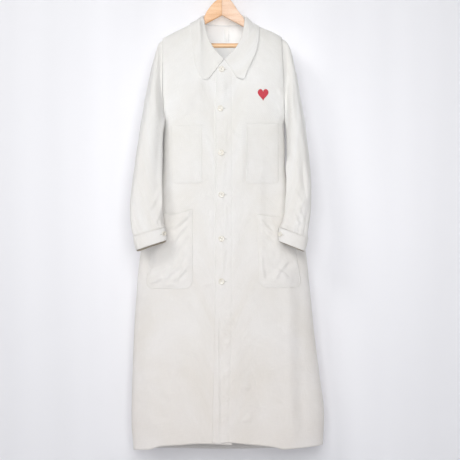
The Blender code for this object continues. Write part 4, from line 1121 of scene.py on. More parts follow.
def back_panel():
    """Both halves of the back in one grid, joined down the middle."""
    right = trimmed(half_panel(-1, False, SHOULDER_RIGHT, NECK_BACK_RIGHT, None, HEM_BACK, 64, 130))
    left = trimmed(half_panel(1, False, SHOULDER_LEFT, NECK_BACK_LEFT, None, HEM_BACK, 64, 130))
    right_normals = panel_normals(right, -1)
    left_normals = panel_normals(left, 1)
    grid = np.concatenate([right, left[:, -2::-1]], axis=1)
    normals = outward(normals_of(grid), grid)
    shared = SHOULDER_COLUMNS + 3
    normals[:, :shared] = right_normals[:, :shared]
    normals[:, -shared:] = left_normals[:, :shared][:, ::-1]
    grid = press(grid, normals, BACK_FOLDS, 1)
    grid = worked(grid, normals, BACK_CREASES, 1, 23)
    grid = grid - normals * grooves(grid, BACK_SEAMS)[..., None]
    piece, tree = cloth_shell("coat_back", grid, normals, CLOTH, COTTON, ["back"])
    lines = [inset(grid, normals, edge, distance, CLOTH / 2) for edge, distance, _, _ in BACK_SEAMS]
    lines += [
        inset(grid[:, part], normals[:, part], "top", SHOULDER_ROW, CLOTH / 2)
        for part in (slice(None, SEAM_COLUMNS), slice(-SEAM_COLUMNS, None))
    ]
    sewn = stitches("stitches_back", lines, THREAD)
    return tree, grid, normals


back_tree, back_grid, back_normals = back_panel()


# The sleeves: one tube each, eased into the armhole at the top and gathered in small pleats
# into the cuff. They hang a little forward at the elbow, with long drag folds from the head.
SLEEVE_HEAD_ROWS = 4
ARMHOLE_SPREAD = 2.4
SLEEVE_AROUND = 112
# How much less each upper arm swells forward than its solid does.
FLATTER = {-1: 3.0, 1: 10.0}
SLEEVE_DOWN = 190
SLEEVE_COLUMN_NAMES = "outer_x outer_z inner_x inner_z middle_y half_y"
SLEEVE_RIGHT = table(SLEEVE_COLUMN_NAMES, [
    (-176.4, -196.3, -176.8, -446.0, -20, 50),
    (-187.1, -210.5, -178.2, -455.0, -20, 56),
    (-195.8, -234.2, -178.6, -463.8, -19, 62),
    (-205.7, -269.8, -179.0, -472.7, -18, 66),
    (-214.7, -314.6, -179.4, -484.6, -18, 68),
    (-225.1, -368.3, -179.8, -499.5, -18, 69),
    (-235.5, -428.0, -180.4, -520.5, -20, 67),
    (-245.0, -482.0, -180.6, -547.5, -24, 63),
    (-253.2, -536.0, -180.0, -580.7, -32, 57),
    (-259.9, -590.0, -178.6, -616.7, -46, 45),
    (-265.2, -640.9, -176.5, -652.7, -57, 38),
    (-267.8, -688.4, -175.0, -688.4, -65, 34),
    (-266.5, -732.7, -173.0, -721.0, -70, 31),
    (-261.9, -768.0, -169.7, -748.9, -75, 29),
    (-257.7, -785.2, -166.7, -760.3, -77, 28),
])
SLEEVE_LEFT = table(SLEEVE_COLUMN_NAMES, [
    (177.6, -193.9, 188.3, -446.0, -20, 50),
    (191.0, -207.5, 191.0, -455.0, -20, 56),
    (204.4, -237.2, 192.0, -463.8, -19, 62),
    (214.9, -275.8, 192.5, -472.7, -18, 66),
    (224.5, -320.5, 192.8, -484.6, -18, 68),
    (234.6, -374.2, 193.1, -499.5, -18, 69),
    (243.2, -431.0, 193.4, -520.5, -20, 67),
    (250.4, -487.9, 193.8, -547.5, -24, 63),
    (256.5, -542.0, 194.1, -580.7, -32, 57),
    (261.3, -596.0, 194.0, -616.7, -43, 48),
    (263.5, -646.8, 193.1, -652.7, -57, 38),
    (263.6, -691.4, 189.5, -685.5, -65, 34),
    (261.0, -729.8, 184.7, -712.1, -70, 31),
    (255.9, -762.1, 176.6, -735.7, -75, 29),
    (251.4, -791.1, 169.3, -760.3, -77, 28),
])
SLEEVE_FOLDS = table(FOLD_COLUMNS, [
    (205, -262, 226, -470, 11, -3.5),
    (226, -470, 246, -668, 11, -3.0),
    (238, -640, 214, -700, 10, -2.0),
    (-214, -270, -222, -470, 13, -2.5),
    (-222, -520, -246, -700, 12, -2.5),
    (-250, -640, -205, -715, 10, 2.0),
])
SLEEVE_CREASES = table(CREASE_COLUMNS, [
    (-178, -640, -214, -716, -4, 4, 8, 1.6),
    (-176, -700, -196, -752, -3, 4, 7, 1.6),
    (-262, -600, -258, -700, 3, 4, 8, -1.4),
    (-205, -560, -248, -640, 5, 6, 12, 1.3),
    (-200, -420, -232, -520, 5, 7, 14, 1.2),
    (206, -700, 232, -760, 3, 4, 8, 1.8),
    (222, -690, 246, -748, 3, 4, 8, 1.6),
    (200, -640, 236, -700, -5, 5, 10, 1.4),
    (238, -560, 252, -700, 4, 5, 9, -1.6),
    (200, -500, 226, -600, 5, 6, 12, 1.4),
    (196, -330, 214, -420, 4, 6, 10, 1.2),
    (232, -700, 252, -668, -2, 4, 8, 1.2),
])
SLEEVE_BACK_CREASES = table(CREASE_COLUMNS, [
    (-184, -470, -240, -560, 6, 7, 14, 2.0),
    (-186, -560, -248, -600, 5, 6, 12, 1.8),
    (-190, -640, -250, -620, 5, 5, 11, 1.5),
    (198, -470, 246, -550, -6, 7, 14, 2.0),
    (200, -550, 252, -610, -5, 6, 12, 1.8),
    (204, -640, 254, -630, -5, 5, 11, 1.5),
])

# Pleats at the cuff: angle round the sleeve, width and depth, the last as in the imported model.
PLEATS = table("angle width depth", [
    (0.75, 0.20, 2.2), (1.30, 0.18, 2.6), (1.85, 0.20, 2.0),
    (3.60, 0.22, 1.8), (4.40, 0.20, 2.2), (5.20, 0.22, 1.8),
])
SMALL_GATHERS = table("angle width depth", [
    (0.45, 0.06, 0.9), (1.02, 0.06, 1.2), (1.52, 0.05, 1.3), (1.70, 0.05, 1.0), (2.10, 0.06, 1.2),
    (2.36, 0.05, 0.8), (3.95, 0.06, 1.0), (4.10, 0.05, 0.8), (4.72, 0.06, 1.1), (4.95, 0.05, 0.9),
    (5.60, 0.06, 0.9),
])


def ring(rows, angles):
    """Points of oval rings, each in the plane through its outer and inner point."""
    share = (1 - np.cos(angles)) / 2
    x = rows["outer_x"][:, None] + (rows["inner_x"] - rows["outer_x"])[:, None] * share
    z = rows["outer_z"][:, None] + (rows["inner_z"] - rows["outer_z"])[:, None] * share
    y = rows["middle_y"][:, None] - rows["half_y"][:, None] * np.sin(angles)
    return np.stack([x, y, z], axis=-1)


ARM_FULLNESS = 0.58


def flattened(grid, rows, angles, amount):
    """The front of a tube made flatter, with a tighter turn at its two edges."""
    rise = np.clip(np.sin(angles), 0, 1)
    fuller = (rise ** ARM_FULLNESS - rise)[None, :] * rows["half_y"][:, None] * amount[:, None]
    grid = grid.copy()
    grid[..., 1] -= fuller
    return grid


def filled_in(rows, at):
    """The table with a row for each share of its length in at, read by the same cubic."""
    values = along(rows, SLEEVE_COLUMN_NAMES, at)
    return dict(zip(SLEEVE_COLUMN_NAMES.split(), values.T))


def away_from_middle(grid):
    """Normals of a tube, pointing away from its middle line."""
    normals = normals_of(grid, closed=True)
    centre = grid.mean(axis=1, keepdims=True)
    return -normals if np.sum(normals * (grid - centre)) < 0 else normals


def pleated(angles, pleats):
    """Depth of pleats at angles round a tube: a bell for each."""
    depth = np.zeros(len(angles))
    for angle, width, fold in zip(*pleats.values()):
        turn = (angles - angle + math.pi) % (2 * math.pi) - math.pi
        depth += fold * np.exp(-((turn / width) ** 2))
    return depth


# How far each sleeve's cloth lies over the body's front: beside the armhole seam, and where its
# inner edge hangs in front of the side, from one level down. The wearer's left one leaves a slit.
OVERHANG = {-1: 4.0, 1: 1.5}
OVERHANG_FOOT = {-1: -520.0, 1: -440.0}
TUCK = {-1: 6.5, 1: 9.0}
TUCK_HEAD = {-1: -400.0, 1: -535.0}


def drawn_over(grid, number, angles, side):
    """The sleeve's cloth hangs a little over the body's front: beside the armhole seam it rolls
    forward and inward, and below the underarm its inner edge swings in front of the side."""
    facing = ease((np.sin(angles) - 0.1) / 0.35)[None, :]
    spread = np.where(number < 0.75, 0.45, 2.6)
    beside = np.exp(-(((number - 0.75) / spread) ** 2))[:, None]
    high = ease((-235 - grid[..., 2]) / 60) * ease((grid[..., 2] - OVERHANG_FOOT[side]) / 60)
    roll = OVERHANG[side] * facing * beside * high
    inner = np.exp(-(((angles - 2.72) / 0.26) ** 2))[None, :]
    low = ease((TUCK_HEAD[side] - grid[..., 2]) / 60) * ease((grid[..., 2] + 742) / 60)
    swing = TUCK[side] * inner * low
    grid = grid.copy()
    grid[..., 0] -= side * (roll + swing)
    grid[..., 1] -= 0.9 * roll + 0.8 * swing
    return grid


def sleeve(name, node, side, rows, shoulder, seed):
    """A tube from the armhole, an egg seen from the side, to the level ring at the cuff."""
    angles = np.linspace(0, 2 * math.pi, SLEEVE_AROUND, endpoint=False)
    at = np.linspace(0, 1, SLEEVE_DOWN)
    number = at * (len(rows["outer_x"]) - 1)
    grid = ring(filled_in(rows, at), angles)
    g = (1 - np.cos(angles)) / 2
    e = np.sqrt(1 - (1 - g) ** 2)
    oval = armhole_oval(g) * np.sign(np.sin(angles))
    armhole_y = (1 - e) * -BOW * abs(rows["outer_x"][0]) + e * MIDDLE_Y - oval
    keep = (1 - ease(number / SLEEVE_HEAD_ROWS))[:, None]
    grid[..., 1] = keep * armhole_y + (1 - keep) * grid[..., 1]
    underarm_x = BODY["left"][0] if side < 0 else BODY["right"][0]
    gap = SEAM + ARMHOLE_SPREAD * g ** 3
    seam_x = shoulder["x"][0] + (underarm_x - shoulder["x"][0]) * g + side * gap
    at_seam = (1 - ease(number))[:, None]
    grid[..., 0] = at_seam * seam_x + (1 - at_seam) * grid[..., 0]
    grid = relaxed(grid, 10, closed=True)
    grid = flattened(grid, filled_in(rows, at), angles, ease((number - 0.2) / 1.4))
    upper_arm = ease(number / 1.5) * ease((8.5 - number) / 5.0)
    grid[..., 1] += FLATTER[side] * upper_arm[:, None] * np.clip(np.sin(angles), 0, 1)[None, :]
    grid = drawn_over(grid, number, angles, side)
    normals = away_from_middle(grid)
    grid = press(grid, normals, SLEEVE_FOLDS, -1)
    growth = ease((at - 0.72) / 0.28)[:, None]
    late_growth = ease((at - 0.84) / 0.16)[:, None]
    grid = grid - normals * (growth * pleated(angles, PLEATS))[..., None]
    grid = grid - normals * (late_growth * pleated(angles, SMALL_GATHERS))[..., None]
    quiet = np.minimum(np.minimum(number / 0.6, 1.0), np.minimum((14 - number) / 0.5, 1.0))[:, None]
    front = np.clip(-normals[..., 1], 0, 1) ** 0.7
    rear = np.clip(normals[..., 1], 0, 1) ** 0.7
    height = CREASE_STRENGTH * front * crease(grid[..., 0], grid[..., 2], SLEEVE_CREASES)
    height += rear * crease(grid[..., 0], grid[..., 2], SLEEVE_BACK_CREASES)
    round_about = 140.0 * np.sin(angles)[None, :]
    for size, tall in LIE_OF_CLOTH:
        height += tall * unevenness(grid[..., 0] + round_about, grid[..., 2], size, seed + int(size))
    grid = grid + normals * (height * quiet)[..., None]
    normals = away_from_middle(grid)
    piece, _ = cloth_shell(name, grid, normals, CLOTH, COTTON, [node], closed=True)
    seam = int(SLEEVE_AROUND * 0.56)
    under = (grid[:, seam] + normals[:, seam] * CLOTH / 2, normals[:, seam])
    ends = [inset(grid, normals, "top", 3.5, CLOTH / 2), inset(grid, normals, "foot", 2.5, CLOTH / 2)]
    sewn = stitches("stitches_" + node, ends + [under], THREAD)


sleeve("coat_sleeve_right", "sleeve_right", -1, SLEEVE_RIGHT, SHOULDER_RIGHT, 31)
sleeve("coat_sleeve_left", "sleeve_left", 1, SLEEVE_LEFT, SHOULDER_LEFT, 47)


# The cuffs: a straight double band of the same cotton round each wrist, sewn to the gathered
# end of the sleeve. Its ends are lapped and closed by a button, and its inside is painted
# dark as painted shade.
CUFF_HEIGHT = 43
CUFF_LAP = 0.08
CUFF_DROP = {"cuff_right": 10.0, "cuff_left": 4.5}
CUFF_LAP_ANGLE = 2.95
CUFF_CLOTH = 1.2
CUFF_RIGHT = table(SLEEVE_COLUMN_NAMES, [
    (-258.9, -785.8, -165.6, -760.9, -77, 29),
    (-255.0, -806.0, -163.8, -779.0, -78, 29),
    (-249.5, -827.0, -161.8, -797.5, -79, 28),
])
CUFF_LEFT = table(SLEEVE_COLUMN_NAMES, [
    (252.6, -791.7, 168.2, -760.9, -77, 29),
    (248.0, -810.0, 167.0, -780.5, -78, 29),
    (241.8, -829.8, 167.2, -800.5, -79, 28),
])


# Painted shade: a dark brown cotton for the cuffs' inner faces, where shade falls under the cuff.
COTTON_PAINTED_SHADE = cotton("undyed_cotton_painted_shade", (0.66, 0.60, 0.52), (0.56, 0.49, 0.40))


def cuff(name, node, rows, seed):
    """A band a little longer than a turn, its upper end lapping over the under end. Its face is
    a little quilted by the rows of stitching."""
    turn = np.linspace(0, 1, 180)
    angles = CUFF_LAP_ANGLE + 2 * math.pi * (1 + CUFF_LAP) * (turn - 1)
    down = np.linspace(0, 1, 26)
    fine = filled_in(rows, down)
    grid = flattened(ring(fine, angles), fine, angles, np.ones(len(down)))
    rear = np.clip(-np.sin(angles), 0, 1) ** 0.7
    rear_drop = CUFF_DROP[node] * rear * (0.45 + 0.55 * np.cos(angles) ** 2)
    grid[..., 2] -= down[:, None] * rear_drop[None, :]
    centre = ring(fine, np.linspace(0, 2 * math.pi, 24, endpoint=False)).mean(axis=1, keepdims=True)
    normals = normals_of(grid)
    if np.sum(normals * (grid - centre)) < 0:
        normals = -normals
    out = (CUFF_CLOTH + 0.9) * ease((turn - 0.70) / 0.18)
    round_about = 90.0 * np.sin(angles)[None, :]
    uneven = 0.7 * unevenness(grid[..., 0] + round_about, grid[..., 2], 24.0, seed)
    uneven += 0.25 * unevenness(grid[..., 0] + round_about, grid[..., 2], 9.0, seed + 1)
    edges = np.minimum(down, 1 - down)[:, None] * np.minimum(turn, 1 - turn)[None, :]
    uneven = uneven * np.minimum(edges * 60, 1.0)
    from_rows = [(down - row) * CUFF_HEIGHT / 1.2 for row in (0.10, 0.92)]
    stitched = np.exp(-(from_rows[0] ** 2)) + np.exp(-(from_rows[1] ** 2))
    grid = grid + normals * (out[None, :] + uneven - 0.35 * stitched[:, None])[..., None]
    piece, tree = cloth_shell(name, grid, normals, CUFF_CLOTH, COTTON, [node])
    # The cuff's inner face gets the painted shade.
    piece.data.materials[1] = COTTON_PAINTED_SHADE
    rows_of_thread = [("top", 4.0), ("top", 8.5), ("foot", 3.0), ("end", 3.0)]
    lines = [inset(grid, normals, edge, distance, CUFF_CLOTH / 2) for edge, distance in rows_of_thread]
    sewn = stitches("stitches_" + node, lines, THREAD)
    return tree


cuff_right_tree = cuff("coat_cuff_right", "cuff_right", CUFF_RIGHT, 61)
cuff_left_tree = cuff("coat_cuff_left", "cuff_left", CUFF_LEFT, 67)


# The collar: stand and fall cut in one, doubled, folded at the roll line. Its points lie open
# on the fronts, the wearer's left one a little lifted, and its edge is stitched round.
COLLAR_CLOTH = 1.6
COLLAR_ROLL = 2.3
COLLAR_LIFT = 0.5
COLLAR_STATIONS = 190
COLLAR_COLUMNS = "seam_x seam_y seam_z roll_x roll_y roll_z edge_x edge_y edge_z facing"
COLLAR = table(COLLAR_COLUMNS, [
    (3.4, -56.0, -270.4, 4.8, -60.0, -264.8, -39.3, -64, -324.4, 0),
    (-9.3, -54.0, -259.8, -5.5, -57.0, -252.7, -54.0, -64, -325.3, 0),
    (-24.7, -51.0, -246.0, -18.9, -53.0, -237.4, -67.3, -62, -311.4, 0),
    (-39.0, -46.5, -232.2, -30.7, -48.5, -220.6, -77.7, -59, -287.6, 0),
    (-49.4, -40.5, -212.1, -39.7, -42.5, -200.3, -83.4, -54, -254.5, 5),
    (-57.0, -32.5, -188.3, -46.4, -34.0, -179.8, -87.5, -47, -218.0, 12),
    (-61.6, -24.5, -165.6, -51.1, -26.0, -157.2, -90.9, -36, -183.3, 30),
    (-65.0, -18.0, -148.0, -54.5, -17.5, -138.0, -92.5, -24, -163.0, 55),
    (-66.6, -8.0, -139.0, -56.0, -8.0, -127.8, -93.5, -12, -153.5, 90),
    (-64.0, 9.0, -140.6, -53.0, 8.0, -122.0, -93.0, 8, -162.0, 130),
    (-51.7, 27.0, -143.8, -43.0, 25.0, -118.5, -80.0, 32, -181.0, 165),
    (-33.0, 36.0, -146.8, -27.0, 34.0, -116.5, -50.0, 43, -184.5, 180),
    (-8.0, 40.0, -148.3, -6.0, 38.0, -115.6, -15.0, 46, -185.6, 180),
    (7.0, 40.5, -148.6, 7.0, 38.5, -115.4, 7.0, 46, -185.8, 180),
    (22.0, 40.0, -148.4, 20.0, 38.0, -115.6, 29.0, 46, -185.6, 180),
    (47.0, 36.0, -147.8, 41.0, 34.0, -116.5, 64.0, 43, -184.5, 180),
    (65.7, 27.0, -146.9, 57.0, 25.0, -119.5, 94.0, 32, -181.0, 165),
    (77.0, 9.0, -146.3, 67.0, 8.0, -124.5, 107.0, 8, -166.0, 130),
    (80.3, -9.0, -145.8, 69.8, -8.0, -130.5, 108.0, -12, -159.5, 90),
    (78.8, -19.0, -154.0, 68.5, -18.0, -141.0, 109.0, -24, -169.0, 55),
    (75.7, -25.5, -167.4, 66.3, -27.0, -158.7, 109.5, -36, -182.0, 30),
    (71.8, -32.5, -188.6, 62.0, -34.0, -181.2, 107.7, -47, -209.2, 12),
    (64.3, -40.5, -213.2, 55.1, -42.5, -203.3, 102.2, -54, -239.7, 5),
    (54.4, -46.5, -232.6, 46.2, -48.5, -222.1, 90.3, -59, -269.9, 0),
    (40.3, -51.0, -246.9, 34.3, -53.0, -238.9, 75.5, -62, -301.1, 0),
    (24.5, -54.0, -260.3, 19.6, -57.0, -254.2, 63.2, -64, -325.3, 0),
    (10.5, -56.0, -269.8, 9.2, -60.0, -266.3, 44.6, -64, -320.6, 0),
])


def cast(trees, start, way):
    """The nearest place where a line from a start, along a way, meets one of the trees, with
    the normal that faces the start."""
    best = None
    for tree in trees:
        place, normal, _, distance = tree.ray_cast(Vector(start), Vector(way))
        if place is not None and (best is None or distance < best[2]):
            best = (np.array(place), np.array(normal), distance)
    if best is None:
        return None
    place, normal, _ = best
    return (place, -normal) if np.dot(normal, way) > 0 else (place, normal)


def nearest(edges, point):
    """The place and the normal on the panels' neck edges that lie nearest to a point."""
    best = None
    for places, normals in edges:
        spans = places[1:] - places[:-1]
        share = np.clip(np.sum((point - places[:-1]) * spans, axis=1) / np.sum(spans * spans, axis=1), 0, 1)
        found = places[:-1] + spans * share[:, None]
        distance = np.linalg.norm(point - found, axis=1)
        i = int(np.argmin(distance))
        if best is None or distance[i] < best[2]:
            best = (found[i], unit(normals[i] * (1 - share[i]) + normals[i + 1] * share[i]), distance[i])
    return best[:2]


def bezier_chain(points, counts):
    """A smooth line through a list of points, a cubic for each span with slopes along the line
    between its neighbours, with the given number of steps in each span."""
    slopes = np.gradient(points, axis=0)
    line = []
    for i, count in enumerate(counts):
        t = np.linspace(0, 1, count, endpoint=False)[:, None]
        line.append(
            points[i] * (1 + 2 * t) * (1 - t) ** 2 + points[i + 1] * t * t * (3 - 2 * t)
            + slopes[i] * t * (1 - t) ** 2 - slopes[i + 1] * t * t * (1 - t)
        )
    return np.concatenate(line + [points[-1:]])


def collar():
    """For each station round the neck, a line up the stand, over the roll and down the fall,
    where it rests on the shells of the fronts and the back."""
    trees = [under_tree, upper_tree, back_tree]
    neck = slice(SHOULDER_COLUMNS, None)
    between = slice(SHOULDER_COLUMNS, -SHOULDER_COLUMNS)
    back_neck = (back_grid[0, between], back_normals[0, between])
    right_edges = [(under_grid[0, neck], under_normals[0, neck]), back_neck]
    left_edges = [(upper_grid[0, neck], upper_normals[0, neck]), back_neck]
    stations = along(COLLAR, COLLAR_COLUMNS, np.linspace(0, 1, COLLAR_STATIONS))
    fall_steps = 26
    lines = []
    ways = []
    for number, values in enumerate(stations):
        seam, roll, edge = values[0:3], values[3:6], values[6:9]
        facing = math.radians(values[9])
        side = -1.0 if number < COLLAR_STATIONS / 2 else 1.0
        seam, panel_normal = nearest(right_edges if side < 0 else left_edges, seam)
        up = unit(roll - seam)
        out = unit(np.array([side * 0.5 * math.sin(facing), -math.cos(facing), 0.85 * math.sin(facing)]))
        fold_out = unit(out - up * np.dot(out, up))
        centre = roll - up * COLLAR_ROLL
        inner = centre - fold_out * COLLAR_ROLL
        outer = centre + fold_out * COLLAR_ROLL
        start = seam + up * (0.8 + CLOTH / 2 * abs(np.dot(up, panel_normal)))
        shares = np.linspace(0, 1, fall_steps + 1)[1:, None]
        fall = outer + (edge - outer) * shares
        stand = bezier_chain(np.array([start, (start + inner) / 2, inner, roll, outer]), (6, 6, 5, 5))
        lines.append(np.concatenate([stand, fall]))
        ways.append(out)
    grid = np.array(lines).transpose(1, 0, 2)
    ways = np.array(ways)
    first = grid.shape[0] - fall_steps
    clear = CLOTH / 2 + COLLAR_CLOTH / 2 + COLLAR_LIFT
    rest = np.zeros((fall_steps, COLLAR_STATIONS))
    for r in range(fall_steps):
        for c in range(COLLAR_STATIONS):
            hit = cast(trees, grid[first + r, c] + ways[c] * 60, -ways[c])
            rest[r, c] = np.dot(hit[0] - grid[first + r, c], ways[c]) if hit is not None else np.nan
    return grid, ways, first, rest, clear


def settle_fall(grid, ways, first, rest, clear):
    """Lets the fall down on the cloth below it: its distance follows the rest heights, smoothed
    over a few stations, and never drops under them."""
    rest = np.where(np.abs(rest) < 30, rest, np.nan)
    share = np.linspace(0, 1, rest.shape[0] + 1)[1:, None]
    wanted = np.where(np.isnan(rest), 0.0, rest + clear - CLOTH / 2)
    pull = ease((share - 0.2) / 0.45)
    shift = np.where(np.isnan(rest), 0.0, wanted * pull)
    least = np.where(np.isnan(rest), -99.0, wanted)
    for _ in range(30):
        shift[:, 1:-1] = (shift[:, 2:] + shift[:, :-2] + 2 * shift[:, 1:-1]) / 4
        shift[1:-1] = (shift[2:] + shift[:-2] + 2 * shift[1:-1]) / 4
        shift = np.maximum(shift, least)
    for _ in range(4):
        shift[:, 1:-1] = (shift[:, 2:] + shift[:, :-2] + 2 * shift[:, 1:-1]) / 4
    shift = np.maximum(shift, least)
    grid = grid.copy()
    grid[first:] += ways[None] * shift[..., None]
    return grid


# How far the fall's edge stands off the cloth, by the row of the table: the wearer's right
# point along its front, and the left wing along its outer edge.
COLLAR_STAND_OFF = table("row off", [
    (0, 3.2), (0.6, 2.6), (1.3, 0.6), (2.2, 0.0), (19.0, 0.0), (20.5, 2.6), (22.0, 5.0), (24.0, 5.5),
    (25.2, 5.0), (25.8, 2.4), (26.0, 0.8),
])


def lifted(grid, ways, first):
    """The fall raised along its edge, from a third of the way down it."""
    row = np.linspace(0, 26, COLLAR_STATIONS)
    off = smooth(COLLAR_STAND_OFF, "row", "off", row)
    share = np.linspace(0, 1, grid.shape[0] - first + 1)[1:, None]
    grid = grid.copy()
    grid[first:] += ways[None] * (off[None, :] * ease((share - 0.3) / 0.7))[..., None]
    return grid


COLLAR_COTTON = cotton("undyed_cotton_collar_painted_glow")
# Painted glow on the collar's back half, on faces that look forward or aside, lightening the shaded inside
# of the stand.
painted_glow(COLLAR_COTTON, 0.17, "Y", -0.012, 0.012, rear=0.0)
collar_grid, collar_ways, collar_first, collar_rest, collar_clear = collar()
collar_grid = settle_fall(collar_grid, collar_ways, collar_first, collar_rest, collar_clear)
collar_grid = lifted(collar_grid, collar_ways, collar_first)
collar_normals = normals_of(collar_grid)
COLLAR_STAND_ROW = 6
COLLAR_ROLL_ROW = 18
from_stand = collar_grid[COLLAR_ROLL_ROW] - collar_grid[COLLAR_STAND_ROW]
if np.sum(collar_normals[COLLAR_ROLL_ROW] * from_stand) < 0:
    collar_normals = -collar_normals
COLLAR_EDGES = ("foot", "start", "end")
COLLAR_SEAM_AT = 5.0
edge_groove = grooves(collar_grid, [(edge, COLLAR_SEAM_AT, 1.4, 0.35) for edge in COLLAR_EDGES])
edge_groove[:collar_first] = 0.0
collar_grid = collar_grid - collar_normals * edge_groove[..., None]
collar_piece, _ = cloth_shell(
    "coat_collar", collar_grid, collar_normals, COLLAR_CLOTH, COLLAR_COTTON, ["collar"]
)
collar_lines = [
    inset(
        collar_grid[collar_first:], collar_normals[collar_first:], edge, COLLAR_SEAM_AT, COLLAR_CLOTH / 2
    )
    for edge in COLLAR_EDGES
]
collar_stitches = stitches("stitches_collar", collar_lines, THREAD)


# The patch pockets: four patches of the same cotton, turned in at the edges and stitched flat
# on the fronts, with a deep hem at the mouth. The hip pockets have rounded corners, sag a
# little at the mouth and are creased from being filled.
POCKET_CLOTH = 0.75
POCKET_LIFT = 0.12
POCKET_ROWS = (2.2, 7.5)
POCKET_COLUMNS = (
    "inner_top outer_top inner_foot outer_foot inner_mouth outer_mouth foot corner sag hem full"
)
POCKETS = {
    "chest_pocket_right": (-58.2, -148.0, -58.2, -147.0, -459, -460, -630, 8, 0.0, 34, 0.15),
    "chest_pocket_left": (71.0, 166.0, 71.0, 167.0, -454, -453, -630, 8, 0.0, 34, 0.15),
    "hip_pocket_right": (-86.3, -190.0, -86.2, -228.0, -706, -716, -941, 24, 9.0, 40, 1.0),
    "hip_pocket_left": (103.4, 200.0, 110.0, 238.0, -721, -728, -938, 24, 3.0, 40, 0.9),
}
POCKET_CREASES = table(CREASE_COLUMNS, [
    (-88, -710, -158, -772, -6, 4, 9, 3.6),
    (-88, -738, -156, -842, 8, 4, 10, 3.2),
    (-90, -772, -150, -868, 6, 5, 10, 2.4),
    (-92, -812, -136, -905, 5, 5, 10, 2.4),
    (-96, -866, -150, -925, -5, 4, 9, 3.0),
    (-118, -872, -176, -928, 5, 4, 9, 2.8),
    (-150, -868, -196, -930, 5, 5, 10, 2.2),
    (-180, -872, -226, -912, 4, 4, 8, 3.0),
    (-168, -902, -218, -926, -3, 4, 8, 2.4),
    (-120, -770, -200, -850, 8, 6, 12, 1.6),
    (108, -730, 156, -782, 4, 4, 9, 3.0),
    (108, -760, 168, -822, 5, 5, 10, 2.2),
    (142, -738, 182, -830, -5, 6, 12, 1.8),
    (204, -852, 150, -924, 5, 5, 10, 2.4),
    (116, -840, 128, -918, 4, 5, 10, 2.2),
    (150, -880, 200, -915, -4, 4, 9, 2.0),
    (-84, -520, -100, -610, 4, 8, 14, 0.9),
    (120, -480, 128, -600, 5, 8, 14, 1.0),
])
POCKET_STEPS = 72


def pocket_outline(size, u, v):
    """Places x, z on a patch at shares u across it and v down it. The lower corners are
    quarter circles: near the foot the row draws in by 1 minus the circle's root."""
    inner = size["inner_top"] + (size["inner_foot"] - size["inner_top"]) * v
    outer = size["outer_top"] + (size["outer_foot"] - size["outer_top"]) * v
    sign = np.sign(outer - inner)
    mouth = size["inner_mouth"] + (size["outer_mouth"] - size["inner_mouth"]) * u
    mouth = mouth - size["sag"] * np.sin(math.pi * u) ** 1.4
    z = mouth + (size["foot"] - mouth) * v
    above = np.clip((z - size["foot"]) / size["corner"], 0, 1)
    pull = size["corner"] * (1 - np.sqrt(np.clip(1 - (1 - above) ** 2, 0, 1)))
    x = inner + sign * pull + (outer - inner - 2 * sign * pull) * u
    return x, z


def pocket(node):
    """A grid over the patch, cast onto the front and lifted off it, with the creases, a soft
    fullness at the mouth and grooves where it is stitched."""
    size = dict(zip(POCKET_COLUMNS.split(), POCKETS[node]))
    spread = np.linspace(0, 1, POCKET_STEPS)
    u, v = np.meshgrid(spread, 1 - (1 - spread) ** 1.25, indexing="xy")
    x, z = pocket_outline(size, u, v)
    grid = np.zeros(x.shape + (3,))
    normals = np.zeros_like(grid)
    for r in range(POCKET_STEPS):
        for c in range(POCKET_STEPS):
            place, normal = cast([under_tree, upper_tree], (x[r, c], -500.0, z[r, c]), (0.0, 1.0, 0.0))
            grid[r, c] = place
            normals[r, c] = normal
    smooth_normals = unit(relaxed(outward(normals_of(grid), grid), 20))
    lift = POCKET_CLOTH / 2 + POCKET_LIFT
    width = abs(size["outer_foot"] - size["inner_foot"])
    height = abs(size["inner_mouth"] - size["foot"])
    to_side = np.minimum(u, 1 - u) * width
    to_foot = (1 - v) * height
    to_mouth = v * height
    to_seam = np.minimum(to_side, to_foot)
    firm = 0.35 + 0.65 * size["full"]
    seam_groove = -0.3 * firm * np.exp(-(((to_seam - 5.0) / 1.6) ** 2))
    hem_groove = -0.5 * firm * np.exp(-(((to_mouth - size["hem"]) / 1.6) ** 2))
    held = np.minimum(to_seam / 14.0, 1.0)
    swell = 1.4 * np.exp(-((to_mouth / 50.0) ** 2)) * np.sin(math.pi * u) ** 0.8
    work = np.maximum(crease(x, z, POCKET_CREASES), -lift * 0.4)
    work = 1.3 * work + 0.8 * (1 + unevenness(x, z, 30.0, 71)) + 0.35 * (1 + unevenness(x, z, 13.0, 73))
    amount = lift + size["full"] * (work * held + swell * held) + seam_groove + hem_groove
    grid = grid + smooth_normals * np.maximum(amount, lift - 0.3)[..., None]
    normals = outward(normals_of(grid), grid)
    piece, _ = cloth_shell("coat_" + node, grid, normals, POCKET_CLOTH, COTTON, [node])
    rows_of_thread = [(edge, off) for edge in ("start", "end", "foot") for off in POCKET_ROWS]
    rows_of_thread.append(("top", size["hem"]))
    lines = [inset(grid, normals, edge, distance, POCKET_CLOTH / 2) for edge, distance in rows_of_thread]
    sewn = stitches("stitches_" + node, lines, THREAD)


for node in POCKETS:
    pocket(node)


# The hanging loop: a narrow tape of the cloth sewn flat inside the back neck, standing off the
# back a little between its ends.
LOOP_X = 14.0
LOOP_WIDTH = 13.0
LOOP_TOP = -156.0
LOOP_FOOT = -197.0
LOOP_CLOTH = 1.0
LOOP_BOW = 3.5


